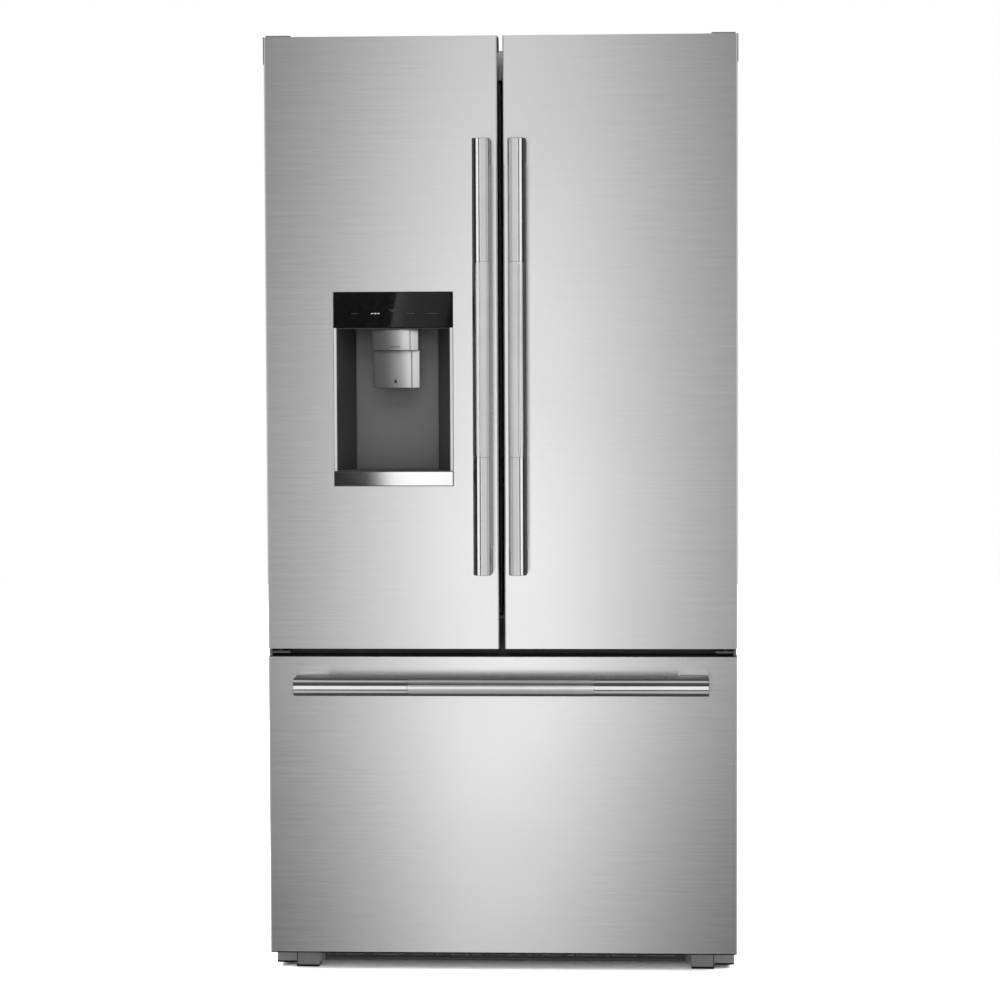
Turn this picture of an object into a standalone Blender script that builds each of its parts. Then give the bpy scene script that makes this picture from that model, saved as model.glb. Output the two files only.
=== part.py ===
"""French door refrigerator with an ice and water dispenser and a bottom freezer drawer.

Metres, +Z up. The origin is on the floor, under the middle of the whole object. The doors
face -Y, and +X is on the right as seen from the front. Each physical piece is one object.
Moving pieces hang from an empty that sits on their joint's axis.
"""
import math

import bmesh
import bpy
from mathutils import Matrix, Vector

# Driving dimensions
HALF_WIDTH = 0.454            # doors and drawer
FACE_Y = -0.31075             # front face of the doors and the drawer
DOOR_THICK = 0.070
GASKET_GAP = 0.014            # between a door's back and the cabinet's front
CABINET_DEPTH = 0.610
CABINET_HALF = 0.452
CABINET_TOP = 1.789
CABINET_BOTTOM = 0.030
DOOR_BOTTOM = 0.635
DOOR_TOP = 1.812
DOOR_SPLIT = 0.0051           # half of the gap between the two doors
DRAWER_BOTTOM = 0.043
DRAWER_TOP = 0.619
EDGE_ROUND = 0.003            # radius of the folded steel edges
CLEAR = 0.0003                # gap between pieces that touch

# Hinge pins of the doors
PIN_X = 0.432
PIN_Y = FACE_Y + 0.024
PIN_R = 0.0045
BORE_R = 0.0052

# Handles
BAR_R = 0.0175
BAR_STANDOFF = 0.055          # bar centre in front of the face
BAR_X = 0.0337
BAR_LOW = 0.782
BAR_HIGH = 1.613
POST_LENGTH = 0.048
POST_WIDTH = 0.034
DRAWER_BAR_HALF = 0.398
DRAWER_BAR_Z = 0.567
DRAWER_POST_LENGTH = 0.058

# Dispenser in the left door
RECESS_LEFT = -0.317
RECESS_RIGHT = -0.0975
RECESS_BOTTOM = 0.979
RECESS_TOP = 1.2545
RECESS_DEPTH = 0.0605
RECESS_TAPER_LEFT = 0.032     # the side walls lean in towards the back
RECESS_TAPER_RIGHT = 0.026
DISPENSER_LEFT = -0.3225
DISPENSER_RIGHT = -0.0922
DISPENSER_BOTTOM = 0.950
DISPENSER_TOP = 1.3235

# Compartments
SHEET = 0.002                 # cabinet steel
LINER_WALL = 0.0025
FRIDGE_HALF = 0.400           # outside of the fresh food liner
FRIDGE_LOW = 0.690
FRIDGE_HIGH = 1.735
FREEZER_HALF = 0.395          # outside of the freezer liner
FREEZER_LOW = 0.115
FREEZER_HIGH = 0.580
LINER_BACK = 0.318
STEP_Z = 0.365                # the freezer is shallower below this, above the compressor bay
STEP_BACK = 0.100
BAY_FRONT = 0.150
BAY_TOP = 0.320
RAIL_LOW = 0.587
RAIL_HIGH = 0.686
PAN_FRONT = -0.190
PAN_LOW = 0.022
PAN_TOP = 0.0582

# Freezer slides
SLIDE_BACK = 0.225
SLIDE_FRONT = -0.215
SLIDE_Z = 0.405

# Worked out from the above
DOOR_BACK = FACE_Y + DOOR_THICK
CABINET_FRONT = DOOR_BACK + GASKET_GAP
CABINET_BACK = CABINET_FRONT + CABINET_DEPTH
CABINET_IN = CABINET_HALF - SHEET - CLEAR
BAR_Y = FACE_Y - BAR_STANDOFF
SKIN = 0.001
CORE_FRONT = FACE_Y + SKIN + CLEAR
GASKET_BACK = CABINET_FRONT - 0.00035
GASKET_WIDTH = 0.018
DYKE_BACK = DOOR_BACK + 0.030
BIN_FRONT = DOOR_BACK - 0.0005
SIDES = (("left", -1), ("right", 1))

MATERIALS = {
    "brushed_steel": ((0.60, 0.60, 0.59), 0.34, 1.0),
    "bright_steel": ((0.74, 0.74, 0.73), 0.20, 1.0),
    "painted_grey": ((0.33, 0.33, 0.33), 0.50, 0.2),
    "galvanised": ((0.56, 0.57, 0.58), 0.45, 0.9),
    "black_steel": ((0.03, 0.03, 0.03), 0.45, 0.3),
    "copper": ((0.72, 0.42, 0.27), 0.30, 1.0),
    "white_plastic": ((0.83, 0.84, 0.84), 0.40, 0.0),
    "clear_plastic": ((0.78, 0.84, 0.86), 0.15, 0.0),
    "dark_plastic": ((0.05, 0.05, 0.05), 0.45, 0.0),
    "grey_plastic": ((0.36, 0.36, 0.36), 0.45, 0.0),
    "black_glass": ((0.01, 0.01, 0.01), 0.06, 0.0),
    "shelf_glass": ((0.70, 0.80, 0.78), 0.08, 0.0),
    "gasket_rubber": ((0.16, 0.16, 0.16), 0.80, 0.0),
    "foam": ((0.80, 0.74, 0.52), 0.95, 0.0),
}


# Scene set-up

def clear_scene():
    for item in list(bpy.data.objects):
        bpy.data.objects.remove(item, do_unlink=True)


def new_collection(name):
    group = bpy.data.collections.new(name)
    bpy.context.scene.collection.children.link(group)
    return group


def make_material(name):
    colour, roughness, metallic = MATERIALS[name]
    mat = bpy.data.materials.new(name)
    mat.use_nodes = True
    shader = mat.node_tree.nodes["Principled BSDF"]
    shader.inputs["Base Color"].default_value = (*colour, 1.0)
    shader.inputs["Roughness"].default_value = roughness
    shader.inputs["Metallic"].default_value = metallic
    return mat


def material(name):
    return bpy.data.materials.get(name) or make_material(name)


clear_scene()
PARTS = new_collection("french_door_refrigerator")
CUTTERS = new_collection("cutters")


def add_object(name, data, finish, location=(0, 0, 0)):
    """Link a part, or a cutter where finish is None."""
    item = bpy.data.objects.new(name, data)
    item.location = location
    if finish is None:
        CUTTERS.objects.link(item)
        item.hide_render = True
        item.display_type = "WIRE"
        return item
    PARTS.objects.link(item)
    data.materials.append(material(finish))
    return item


def pivot(name, location):
    """An empty on a joint's axis."""
    empty = bpy.data.objects.new(name, None)
    empty.location = location
    empty.empty_display_size = 0.05
    PARTS.objects.link(empty)
    return empty


def hang(empty, *items):
    """Parent pieces to an empty without moving them."""
    for item in items:
        item.parent = empty
        item.matrix_parent_inverse = Matrix.Translation(empty.location).inverted()


# Shapes

def span(side, inner, outer):
    """Low and high X of a piece between two distances from the middle, on one side."""
    return tuple(sorted((side * inner, side * outer)))


def box_mesh(name, low, high, open_faces=(), round_front=0.0, round_all=0.0, segments=3):
    """A box about its own centre. open_faces are outward normals of the faces left out."""
    size = Vector(high) - Vector(low)
    mesh_maker = bmesh.new()
    bmesh.ops.create_cube(mesh_maker, size=1.0)
    bmesh.ops.scale(mesh_maker, vec=size, verts=mesh_maker.verts)
    if round_front:
        edges = [
            edge for edge in mesh_maker.edges
            if all(vert.co.y < 0 for vert in edge.verts)
            and abs(edge.verts[0].co.z - edge.verts[1].co.z) > size.z / 2
        ]
        bmesh.ops.bevel(
            mesh_maker, geom=edges, offset=round_front, segments=segments,
            profile=0.5, affect="EDGES",
        )
    if round_all:
        bmesh.ops.bevel(
            mesh_maker, geom=list(mesh_maker.edges), offset=round_all, segments=segments,
            profile=0.5, affect="EDGES",
        )
    unwanted = [
        face for face in mesh_maker.faces
        if any(face.normal.dot(Vector(way)) > 0.99 for way in open_faces)
    ]
    if unwanted:
        bmesh.ops.delete(mesh_maker, geom=unwanted, context="FACES")
    mesh = bpy.data.meshes.new(name)
    mesh_maker.to_mesh(mesh)
    mesh_maker.free()
    return mesh


def middle(low, high):
    return (Vector(low) + Vector(high)) / 2


def box(name, low, high, finish=None, **rounding):
    """A solid box between two corners."""
    return add_object(name, box_mesh(name, low, high, **rounding), finish, middle(low, high))


def shell(name, low, high, wall, open_faces, finish, **rounding):
    """A box of sheet, open on the faces given, with its wall inside the two corners."""
    mesh = box_mesh(name, low, high, open_faces, **rounding)
    item = add_object(name, mesh, finish, middle(low, high))
    sheet = item.modifiers.new("sheet", "SOLIDIFY")
    sheet.thickness = wall
    sheet.offset = -1.0
    sheet.use_even_offset = True
    return item


def turn_to(direction):
    """Rotation that takes +Z to a direction."""
    return Vector((0, 0, 1)).rotation_difference(Vector(direction)).to_matrix().to_4x4()


def cylinder(name, start, end, radius, finish=None, segments=32):
    """A round bar between two points."""
    axis = Vector(end) - Vector(start)
    mesh_maker = bmesh.new()
    bmesh.ops.create_cone(
        mesh_maker, cap_ends=True, segments=segments, radius1=radius, radius2=radius,
        depth=axis.length, matrix=turn_to(axis),
    )
    mesh = bpy.data.meshes.new(name)
    mesh_maker.to_mesh(mesh)
    mesh_maker.free()
    mesh.shade_smooth()
    mesh.set_sharp_from_angle(angle=math.radians(35))
    return add_object(name, mesh, finish, middle(start, end))


def turned(name, profile, base, direction, finish, steps=32):
    """A turned piece. The profile is (radius, height) from its top end down to its base."""
    mesh = bpy.data.meshes.new(name)
    points = [(radius, 0.0, height) for radius, height in profile]
    edges = [(index, index + 1) for index in range(len(points) - 1)]
    mesh.from_pydata(points, edges, [])
    item = add_object(name, mesh, finish, base)
    item.rotation_euler = turn_to(direction).to_euler()
    screw = item.modifiers.new("turn", "SCREW")
    screw.angle = 2 * math.pi
    screw.steps = steps
    screw.render_steps = steps
    screw.use_merge_vertices = True
    screw.merge_threshold = 0.0001
    screw.use_smooth_shade = True
    return item


def curve_to_mesh(curve_item, name, finish):
    """Swap a curve object for a mesh object with its caps welded on."""
    bpy.context.view_layer.update()
    evaluated = curve_item.evaluated_get(bpy.context.evaluated_depsgraph_get())
    mesh = bpy.data.meshes.new_from_object(evaluated)
    mesh.name = name
    weld = bmesh.new()
    weld.from_mesh(mesh)
    bmesh.ops.remove_doubles(weld, verts=weld.verts, dist=0.00001)
    bmesh.ops.recalc_face_normals(weld, faces=weld.faces)
    weld.to_mesh(mesh)
    weld.free()
    mesh.materials.clear()
    place = curve_item.matrix_world.copy()
    bpy.data.objects.remove(curve_item, do_unlink=True)
    item = add_object(name, mesh, finish)
    item.matrix_world = place
    return item


PLANES = {
    "X": Matrix(((0, 0, 1, 0), (1, 0, 0, 0), (0, 1, 0, 0), (0, 0, 0, 1))),
    "Y": Matrix(((1, 0, 0, 0), (0, 0, -1, 0), (0, 1, 0, 0), (0, 0, 0, 1))),
    "Z": Matrix.Identity(4),
}


def outline(name, axis, points, low, high, finish=None):
    """A flat outline drawn across an axis and extruded along it from low to high.

    Points are (y, z) across X, (x, z) across Y and (x, y) across Z.
    """
    data = bpy.data.curves.new(name, "CURVE")
    data.dimensions = "2D"
    data.fill_mode = "BOTH"
    data.extrude = (high - low) / 2
    spline = data.splines.new("POLY")
    spline.points.add(len(points) - 1)
    for point, (first, second) in zip(spline.points, points):
        point.co = (first, second, 0.0, 1.0)
    spline.use_cyclic_u = True
    item = bpy.data.objects.new(name + "_outline", data)
    CUTTERS.objects.link(item)
    shift = {"X": ((low + high) / 2, 0, 0), "Y": (0, (low + high) / 2, 0), "Z": (0, 0, (low + high) / 2)}
    item.matrix_world = Matrix.Translation(shift[axis]) @ PLANES[axis]
    return curve_to_mesh(item, name, finish)


def tube(name, points, radius, finish):
    """A round tube along a list of points, with closed ends."""
    data = bpy.data.curves.new(name, "CURVE")
    data.dimensions = "3D"
    data.bevel_depth = radius
    data.bevel_resolution = 2
    data.use_fill_caps = True
    spline = data.splines.new("POLY")
    spline.points.add(len(points) - 1)
    for point, place in zip(spline.points, points):
        point.co = (*place, 1.0)
    item = bpy.data.objects.new(name + "_path", data)
    CUTTERS.objects.link(item)
    made = curve_to_mesh(item, name, finish)
    made.data.shade_smooth()
    return made


def combine(item, operation, *others):
    """Join others to a piece, or cut them from it."""
    for other in others:
        step = item.modifiers.new(operation.lower(), "BOOLEAN")
        step.operation = operation
        step.object = other
        step.solver = "EXACT"
    return item


def join(item, *others):
    return combine(item, "UNION", *others)


def cut(item, *others):
    return combine(item, "DIFFERENCE", *others)


# Cabinet

def cabinet_wrapper():
    return shell(
        "cabinet_wrapper",
        (-CABINET_HALF, CABINET_FRONT, CABINET_BOTTOM), (CABINET_HALF, CABINET_BACK, CABINET_TOP),
        SHEET, [(0, -1, 0), (0, 1, 0), (0, 0, -1)], "painted_grey",
    )


def cabinet_foam():
    """Foamed block with a pocket for each liner, the rail and the compressor bay."""
    front = CABINET_FRONT + SHEET + 0.00035
    outside = CABINET_FRONT - 0.02
    foam = box(
        "cabinet_foam", (-CABINET_IN, front, PAN_TOP + CLEAR),
        (CABINET_IN, CABINET_BACK - SHEET - CLEAR, CABINET_TOP - SHEET - CLEAR), "foam",
    )
    grow = CLEAR
    return cut(
        foam,
        box("foam_fridge_pocket", (-FRIDGE_HALF - grow, outside, FRIDGE_LOW - grow),
            (FRIDGE_HALF + grow, LINER_BACK + grow, FRIDGE_HIGH + grow)),
        box("foam_freezer_pocket", (-FREEZER_HALF - grow, outside, STEP_Z - grow),
            (FREEZER_HALF + grow, LINER_BACK + grow, FREEZER_HIGH + grow)),
        box("foam_low_pocket", (-FREEZER_HALF - grow, outside, FREEZER_LOW - grow),
            (FREEZER_HALF + grow, STEP_BACK + grow, FREEZER_HIGH + grow)),
        box("foam_rail_pocket", (-0.5, outside, RAIL_LOW - grow), (0.5, -0.2062, RAIL_HIGH + grow)),
        box("foam_bay", (-0.5, BAY_FRONT, 0.0), (0.5, 0.5, BAY_TOP)),
    )


def fridge_liner():
    flange_back = CABINET_FRONT + SHEET
    liner = box("fridge_liner", (-CABINET_IN, CABINET_FRONT, RAIL_HIGH + CLEAR),
                (CABINET_IN, flange_back, CABINET_TOP - SHEET - CLEAR), "white_plastic")
    tub = box("fridge_tub", (-FRIDGE_HALF, CABINET_FRONT + 0.0005, FRIDGE_LOW),
              (FRIDGE_HALF, LINER_BACK, FRIDGE_HIGH))
    inside = box("fridge_space", (-FRIDGE_HALF + LINER_WALL, CABINET_FRONT - 0.02, FRIDGE_LOW + LINER_WALL),
                 (FRIDGE_HALF - LINER_WALL, LINER_BACK - LINER_WALL, FRIDGE_HIGH - LINER_WALL))
    return cut(join(liner, tub), inside)


def freezer_liner():
    """The freezer's tub, stepped at the back to clear the compressor bay."""
    flange_back = CABINET_FRONT + SHEET
    liner = box("freezer_liner", (-CABINET_IN, CABINET_FRONT, PAN_TOP + 0.001),
                (CABINET_IN, flange_back, RAIL_LOW - CLEAR), "white_plastic")
    outside = outline("freezer_tub", "X", [
        (CABINET_FRONT + 0.0005, FREEZER_LOW), (STEP_BACK, FREEZER_LOW), (STEP_BACK, STEP_Z),
        (LINER_BACK, STEP_Z), (LINER_BACK, FREEZER_HIGH), (CABINET_FRONT + 0.0005, FREEZER_HIGH),
    ], -FREEZER_HALF, FREEZER_HALF)
    wall = LINER_WALL
    inside = outline("freezer_space", "X", [
        (CABINET_FRONT - 0.02, FREEZER_LOW + wall), (STEP_BACK - wall, FREEZER_LOW + wall),
        (STEP_BACK - wall, STEP_Z + wall), (LINER_BACK - wall, STEP_Z + wall),
        (LINER_BACK - wall, FREEZER_HIGH - wall), (CABINET_FRONT - 0.02, FREEZER_HIGH - wall),
    ], -FREEZER_HALF + wall, FREEZER_HALF - wall)
    return cut(join(liner, outside), inside)


def divider_rail():
    return box("divider_rail", (-CABINET_IN + CLEAR, CABINET_FRONT, RAIL_LOW),
               (CABINET_IN - CLEAR, -0.2065, RAIL_HIGH), "painted_grey")


def rear_panel():
    return box("rear_panel", (-CABINET_IN, CABINET_BACK - 0.0018, 0.325),
               (CABINET_IN, CABINET_BACK, CABINET_TOP - SHEET - CLEAR), "galvanised")


GLAND_X = -0.360
GLAND_Z = 0.110
GLAND_R = 0.009


def compressor_cover():
    """Access cover with louvre slots and the hole of the cord gland."""
    cover = box("compressor_cover", (-CABINET_IN, CABINET_BACK - 0.0018, 0.060),
                (CABINET_IN, CABINET_BACK, 0.3247), "galvanised")
    slots = []
    for column in (-0.19, 0.0, 0.19):
        for row in range(6):
            low = 0.120 + row * 0.028
            slots.append(box(f"louvre_{len(slots)}", (column - 0.075, 0.36, low),
                             (column + 0.075, 0.40, low + 0.010)))
    hole = cylinder("gland_hole", (GLAND_X, 0.36, GLAND_Z), (GLAND_X, 0.40, GLAND_Z), GLAND_R + CLEAR,
                    segments=24)
    return cut(cover, *slots, hole)


def cord_gland():
    """Round grommet in the cover where the mains cord would leave."""
    depth = 0.014
    profile = [
        (0.0055, depth), (GLAND_R, depth), (GLAND_R, 0.004), (0.014, 0.004), (0.014, 0.0),
        (0.0055, 0.0), (0.0055, depth),
    ]
    return turned("cord_gland", profile, (GLAND_X, CABINET_BACK - depth, GLAND_Z), (0, 1, 0),
                  "gasket_rubber", steps=24)


FAN_X = -0.060                # shroud of the condenser fan
FAN_Y = 0.262
FAN_Z = 0.152
FAN_R = 0.066
ROLLER_Y = 0.330
ROLLER_R = 0.024
AXLE_R = 0.004


def half_moons(name, start, end, radius, bar_low, bar_high):
    """A round cutter with a bar left across it."""
    moons = cylinder(name, start, end, radius, segments=40)
    return cut(moons, box(name + "_bar", bar_low, bar_high))


def base_pan():
    """Chassis tray with roller brackets and the condenser fan's shroud."""
    pan = shell("base_pan", (-0.4495, PAN_FRONT, PAN_LOW), (0.4495, 0.3812, PAN_TOP),
                0.0022, [(0, 0, -1)], "galvanised")
    for side_name, side in SIDES:
        for inner, outer in ((0.410, 0.414), (0.442, 0.446)):
            low_x, high_x = span(side, inner, outer)
            join(pan, box(f"roller_bracket_{side_name}_{outer}", (low_x, 0.300, 0.012),
                          (high_x, 0.360, 0.0575)))
        low_x, high_x = span(side, 0.400, 0.4468)
        cut(pan, cylinder(f"axle_hole_{side_name}", (low_x, ROLLER_Y, ROLLER_R),
                          (high_x, ROLLER_Y, ROLLER_R), AXLE_R + CLEAR, segments=20))
    join(pan, box("fan_shroud", (FAN_X - 0.002, 0.180, 0.057), (FAN_X + 0.002, 0.345, 0.238)))
    moons = half_moons("shroud_moons", (FAN_X - 0.02, FAN_Y, FAN_Z), (FAN_X + 0.02, FAN_Y, FAN_Z),
                       FAN_R + 0.004, (FAN_X - 0.03, FAN_Y - 0.008, FAN_Z - 0.1),
                       (FAN_X + 0.03, FAN_Y + 0.008, FAN_Z + 0.1))
    hole = cylinder("fan_shaft_hole", (FAN_X - 0.02, FAN_Y, FAN_Z), (FAN_X + 0.02, FAN_Y, FAN_Z),
                    0.0033, segments=20)
    return cut(pan, moons, hole)


def fan(name, centre, direction, radius, shaft):
    """Hub, shaft stub and five pitched blades. direction points from the hub to the shaft."""
    way = Vector(direction)
    centre = Vector(centre)
    hub = cylinder(name, centre - way * 0.009, centre + way * 0.007, radius * 0.28, "dark_plastic",
                   segments=24)
    join(hub, cylinder(name + "_shaft", centre, centre + way * (0.007 + shaft), 0.003, segments=20))
    lift = turn_to(direction)
    for blade in range(5):
        wing = box(f"{name}_blade_{blade}", (radius * 0.2, -radius * 0.27, -0.0008),
                   (radius, radius * 0.27, 0.0008))
        turn = Matrix.Rotation(math.tau * blade / 5, 4, "Z")
        pitch = Matrix.Rotation(math.radians(24), 4, "X")
        reach = Matrix.Translation(((radius * 1.2) / 2, 0, -0.001))
        wing.matrix_world = Matrix.Translation(centre) @ lift @ turn @ pitch @ reach
        join(hub, wing)
    return hub


def compressor():
    """Hermetic shell on its mounting plate."""
    rise, radius, height = 0.012, 0.082, 0.185
    profile = [(0.0, height)]
    for step in range(1, 7):
        angle = math.pi / 2 * step / 6
        profile.append((radius * math.sin(angle), height - 0.06 + 0.06 * math.cos(angle)))
    profile += [(radius, rise + 0.045)]
    for step in range(1, 5):
        angle = math.pi / 2 * step / 4
        profile.append((radius * (1 - 0.35 * (1 - math.cos(angle))), rise + 0.045 - 0.045 * math.sin(angle)))
    profile.append((0.0, rise))
    dome = turned("compressor", profile, (0.260, 0.265, PAN_TOP + CLEAR), (0, 0, 1), "black_steel")
    plate = box("compressor_plate", (0.165, 0.195, PAN_TOP + CLEAR), (0.355, 0.335, PAN_TOP + 0.016))
    return join(dome, plate)


def serpentine(low_x, high_x, y, low_z, pitch, runs, bend_steps=5):
    """Points of a flat coil of straight runs joined by half circles."""
    points = []
    radius = pitch / 2
    for run in range(runs):
        z = low_z + run * pitch
        forward = run % 2 == 0
        start, end = (low_x, high_x) if forward else (high_x, low_x)
        points += [(start, y, z), (end, y, z)]
        if run == runs - 1:
            break
        way = 1 if forward else -1
        for step in range(1, bend_steps):
            angle = -math.pi / 2 + math.pi * step / bend_steps
            points.append((end + way * radius * math.cos(angle), y, z + radius + radius * math.sin(angle)))
    return points


def condenser_coil():
    return tube("condenser_coil", serpentine(-0.400, -0.100, 0.300, 0.075, 0.022, 8), 0.004, "copper")


def evaporator_coil():
    return tube("evaporator_coil", serpentine(-0.345, 0.345, 0.292, 0.395, 0.022, 8), 0.004, "copper")


EVAP_FAN_Z = 0.470
EVAP_FAN_R = 0.055
COVER_Y = 0.240


def evaporator_cover():
    """Panel at the back of the freezer with the fan's opening and two return slots."""
    cover = box("evaporator_cover", (-0.3915, COVER_Y, STEP_Z + 0.0035), (0.3915, COVER_Y + 0.003, 0.5765),
                "white_plastic")
    moons = half_moons("cover_moons", (0, COVER_Y - 0.02, EVAP_FAN_Z), (0, COVER_Y + 0.02, EVAP_FAN_Z),
                       EVAP_FAN_R + 0.003, (-0.007, COVER_Y - 0.03, EVAP_FAN_Z - 0.1),
                       (0.007, COVER_Y + 0.03, EVAP_FAN_Z + 0.1))
    slots = [
        box(f"return_slot_{side_name}", (side * 0.23 - 0.08, COVER_Y - 0.02, 0.385),
            (side * 0.23 + 0.08, COVER_Y + 0.02, 0.400))
        for side_name, side in SIDES
    ]
    hole = cylinder("evap_shaft_hole", (0, COVER_Y - 0.02, EVAP_FAN_Z), (0, COVER_Y + 0.02, EVAP_FAN_Z),
                    0.0033, segments=20)
    return cut(cover, moons, hole, *slots)


def top_hinge(side_name, side):
    """Stepped bracket on the cabinet's top with a pin down into the door."""
    low_x, high_x = span(side, 0.404, 0.450)
    foot, over, plate = CABINET_TOP + CLEAR, DOOR_TOP + 0.0004, 0.003
    bracket = outline(f"top_hinge_{side_name}", "X", [
        (-0.130, foot), (-0.2262, foot), (-0.2262, over), (PIN_Y - 0.016, over),
        (PIN_Y - 0.016, over + plate), (-0.2222, over + plate), (-0.2222, foot + 0.004),
        (-0.130, foot + 0.004),
    ], low_x, high_x, "painted_grey")
    pin = cylinder(f"top_pin_{side_name}", (side * PIN_X, PIN_Y, DOOR_TOP - 0.0135),
                   (side * PIN_X, PIN_Y, over + 0.001), PIN_R, segments=24)
    return join(bracket, pin)


def hinge_cover(side_name, side):
    low_x, high_x = span(side, 0.404, 0.450)
    return shell(f"hinge_cover_{side_name}", (low_x, -0.2215, CABINET_TOP + 0.0046),
                 (high_x, -0.130, CABINET_TOP + 0.027), 0.0015, [(0, 0, -1)], "dark_plastic")


def centre_hinge(side_name, side):
    """Bracket on the divider rail with a pin up into the door's bottom."""
    low_x, high_x = span(side, 0.412, 0.4475)
    back = CABINET_FRONT - 0.0005
    bracket = outline(f"centre_hinge_{side_name}", "X", [
        (-0.2995, 0.6255), (-0.2310, 0.6255), (-0.2310, 0.6095), (back, 0.6095),
        (back, 0.6295), (-0.2995, 0.6295),
    ], low_x, high_x, "painted_grey")
    low_x, high_x = span(side, 0.4465, 0.4520)
    end = box(f"centre_hinge_end_{side_name}", (low_x, -0.3045, 0.6205), (high_x, back - 0.0005, 0.6335))
    pin = cylinder(f"centre_pin_{side_name}", (side * PIN_X, PIN_Y, 0.628),
                   (side * PIN_X, PIN_Y, DOOR_BOTTOM + 0.0125), PIN_R, segments=24)
    return join(bracket, end, pin)


def base_grille():
    """Dark kick grille under the drawer, with slots."""
    grille = outline("base_grille", "X", [
        (-0.2380, 0.0125), (-0.2350, 0.0125), (-0.2350, 0.0525), (PAN_FRONT - 0.0005, 0.0525),
        (PAN_FRONT - 0.0005, 0.0555), (-0.2380, 0.0555),
    ], -0.355, 0.355, "dark_plastic")
    for index in range(9):
        middle_x = (index - 4) * 0.076
        cut(grille, box(f"grille_slot_{index}", (middle_x - 0.030, -0.25, 0.0220),
                        (middle_x + 0.030, -0.22, 0.0420)))
    return grille


def foot(side_name, side):
    """Levelling foot and its leg bracket."""
    points = [
        (0.366, 0.0), (0.4095, 0.0), (0.4095, 0.0085), (0.4490, 0.0085), (0.4490, 0.041), (0.366, 0.041),
    ]
    return outline(f"foot_{side_name}", "Y", [(side * x, z) for x, z in points],
                   -0.2440, PAN_FRONT - 0.0005, "grey_plastic")


def roller(side_name, side):
    """Rear roller with its axle, turned in one piece."""
    half, reach = 0.012, 0.018
    profile = [
        (0.0, reach), (AXLE_R, reach), (AXLE_R, half), (ROLLER_R - 0.002, half),
        (ROLLER_R, half - 0.002), (ROLLER_R, -half + 0.002), (ROLLER_R - 0.002, -half),
        (AXLE_R, -half), (AXLE_R, -reach), (0.0, -reach),
    ]
    return turned(f"rear_roller_{side_name}", profile, (side * 0.428, ROLLER_Y, ROLLER_R), (1, 0, 0),
                  "dark_plastic", steps=40)


# Fresh food compartment

def shelf(name, low_x, high_x, z):
    """Cantilevered shelf: glass with a front lip and a rear bracket."""
    back, front = LINER_BACK - LINER_WALL - 0.0005, -0.115
    return outline(name, "X", [
        (front, z - 0.009), (front + 0.009, z - 0.009), (front + 0.009, z - 0.006), (back - 0.006, z - 0.006),
        (back - 0.006, z - 0.055), (back, z - 0.055), (back, z + 0.012), (back - 0.006, z + 0.012),
        (back - 0.006, z), (front + 0.004, z), (front + 0.004, z + 0.004), (front, z + 0.004),
    ], low_x, high_x, "shelf_glass")


CRISPER_TOP = 0.915


def crisper_cover():
    """Glass cover over the crispers with a leg between them."""
    cover = box("crisper_cover", (-0.3968, -0.115, 0.926), (0.3968, 0.3148, 0.938), "shelf_glass")
    leg = box("crisper_leg", (-0.0035, -0.060, FRIDGE_LOW + 0.0035), (0.0035, 0.300, 0.930))
    return join(cover, leg)


def crisper(side_name, side):
    low_x, high_x = span(side, 0.009, 0.386)
    return shell(f"crisper_{side_name}", (low_x, -0.070, FRIDGE_LOW + 0.0035), (high_x, 0.290, CRISPER_TOP),
                 0.003, [(0, 0, 1)], "clear_plastic", round_front=0.012)


def water_filter():
    profile = [(0.0, 0.20), (0.022, 0.20), (0.030, 0.19), (0.030, 0.02), (0.024, 0.0), (0.0, 0.0)]
    return turned("water_filter", profile, (0.345, -0.140, 1.690), (0, 1, 0), "white_plastic", steps=28)


# Doors

def door_skin(name, low_x, high_x, low_z, high_z):
    """Folded steel sheet: front and both sides."""
    return shell(name, (low_x, FACE_Y, low_z), (high_x, DOOR_BACK - 0.0005, high_z), SKIN,
                 [(0, 1, 0), (0, 0, 1), (0, 0, -1)], "brushed_steel", round_front=EDGE_ROUND)


def door_liner(name, low_x, high_x, low_z, high_z, dyke_low, dyke_high):
    """Inner liner with the foam it is bonded to, and the raised dyke that holds the bins."""
    inset = SKIN + CLEAR
    core = box(name, (low_x + inset, CORE_FRONT, low_z), (high_x - inset, DOOR_BACK, high_z),
               "white_plastic", round_front=EDGE_ROUND)
    dyke = box(name + "_dyke", (dyke_low[0], DOOR_BACK - 0.003, dyke_low[1]),
               (dyke_high[0], DYKE_BACK, dyke_high[1]))
    inner = box(name + "_dyke_in", (dyke_low[0] + 0.035, DOOR_BACK - 0.001, dyke_low[1] + 0.035),
                (dyke_high[0] - 0.035, DYKE_BACK + 0.02, dyke_high[1] - 0.035))
    return cut(join(core, dyke), inner)


def hinge_bores(core, side_name, side):
    place = (side * PIN_X, PIN_Y)
    cut(
        core,
        cylinder(f"top_bore_{side_name}", (*place, DOOR_TOP - 0.015), (*place, DOOR_TOP + 0.01),
                 BORE_R, segments=24),
        cylinder(f"low_bore_{side_name}", (*place, DOOR_BOTTOM - 0.01), (*place, DOOR_BOTTOM + 0.0135),
                 BORE_R, segments=24),
    )


def gasket(name, low, high):
    """Magnetic seal around a door's back. low and high are (x, z) corners."""
    width = GASKET_WIDTH
    ring = box(name, (low[0], DOOR_BACK + 0.00035, low[1]), (high[0], GASKET_BACK, high[1]), "gasket_rubber")
    hole = box(name + "_hole", (low[0] + width, DOOR_BACK - 0.01, low[1] + width),
               (high[0] - width, GASKET_BACK + 0.01, high[1] - width))
    return cut(ring, hole)


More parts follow.
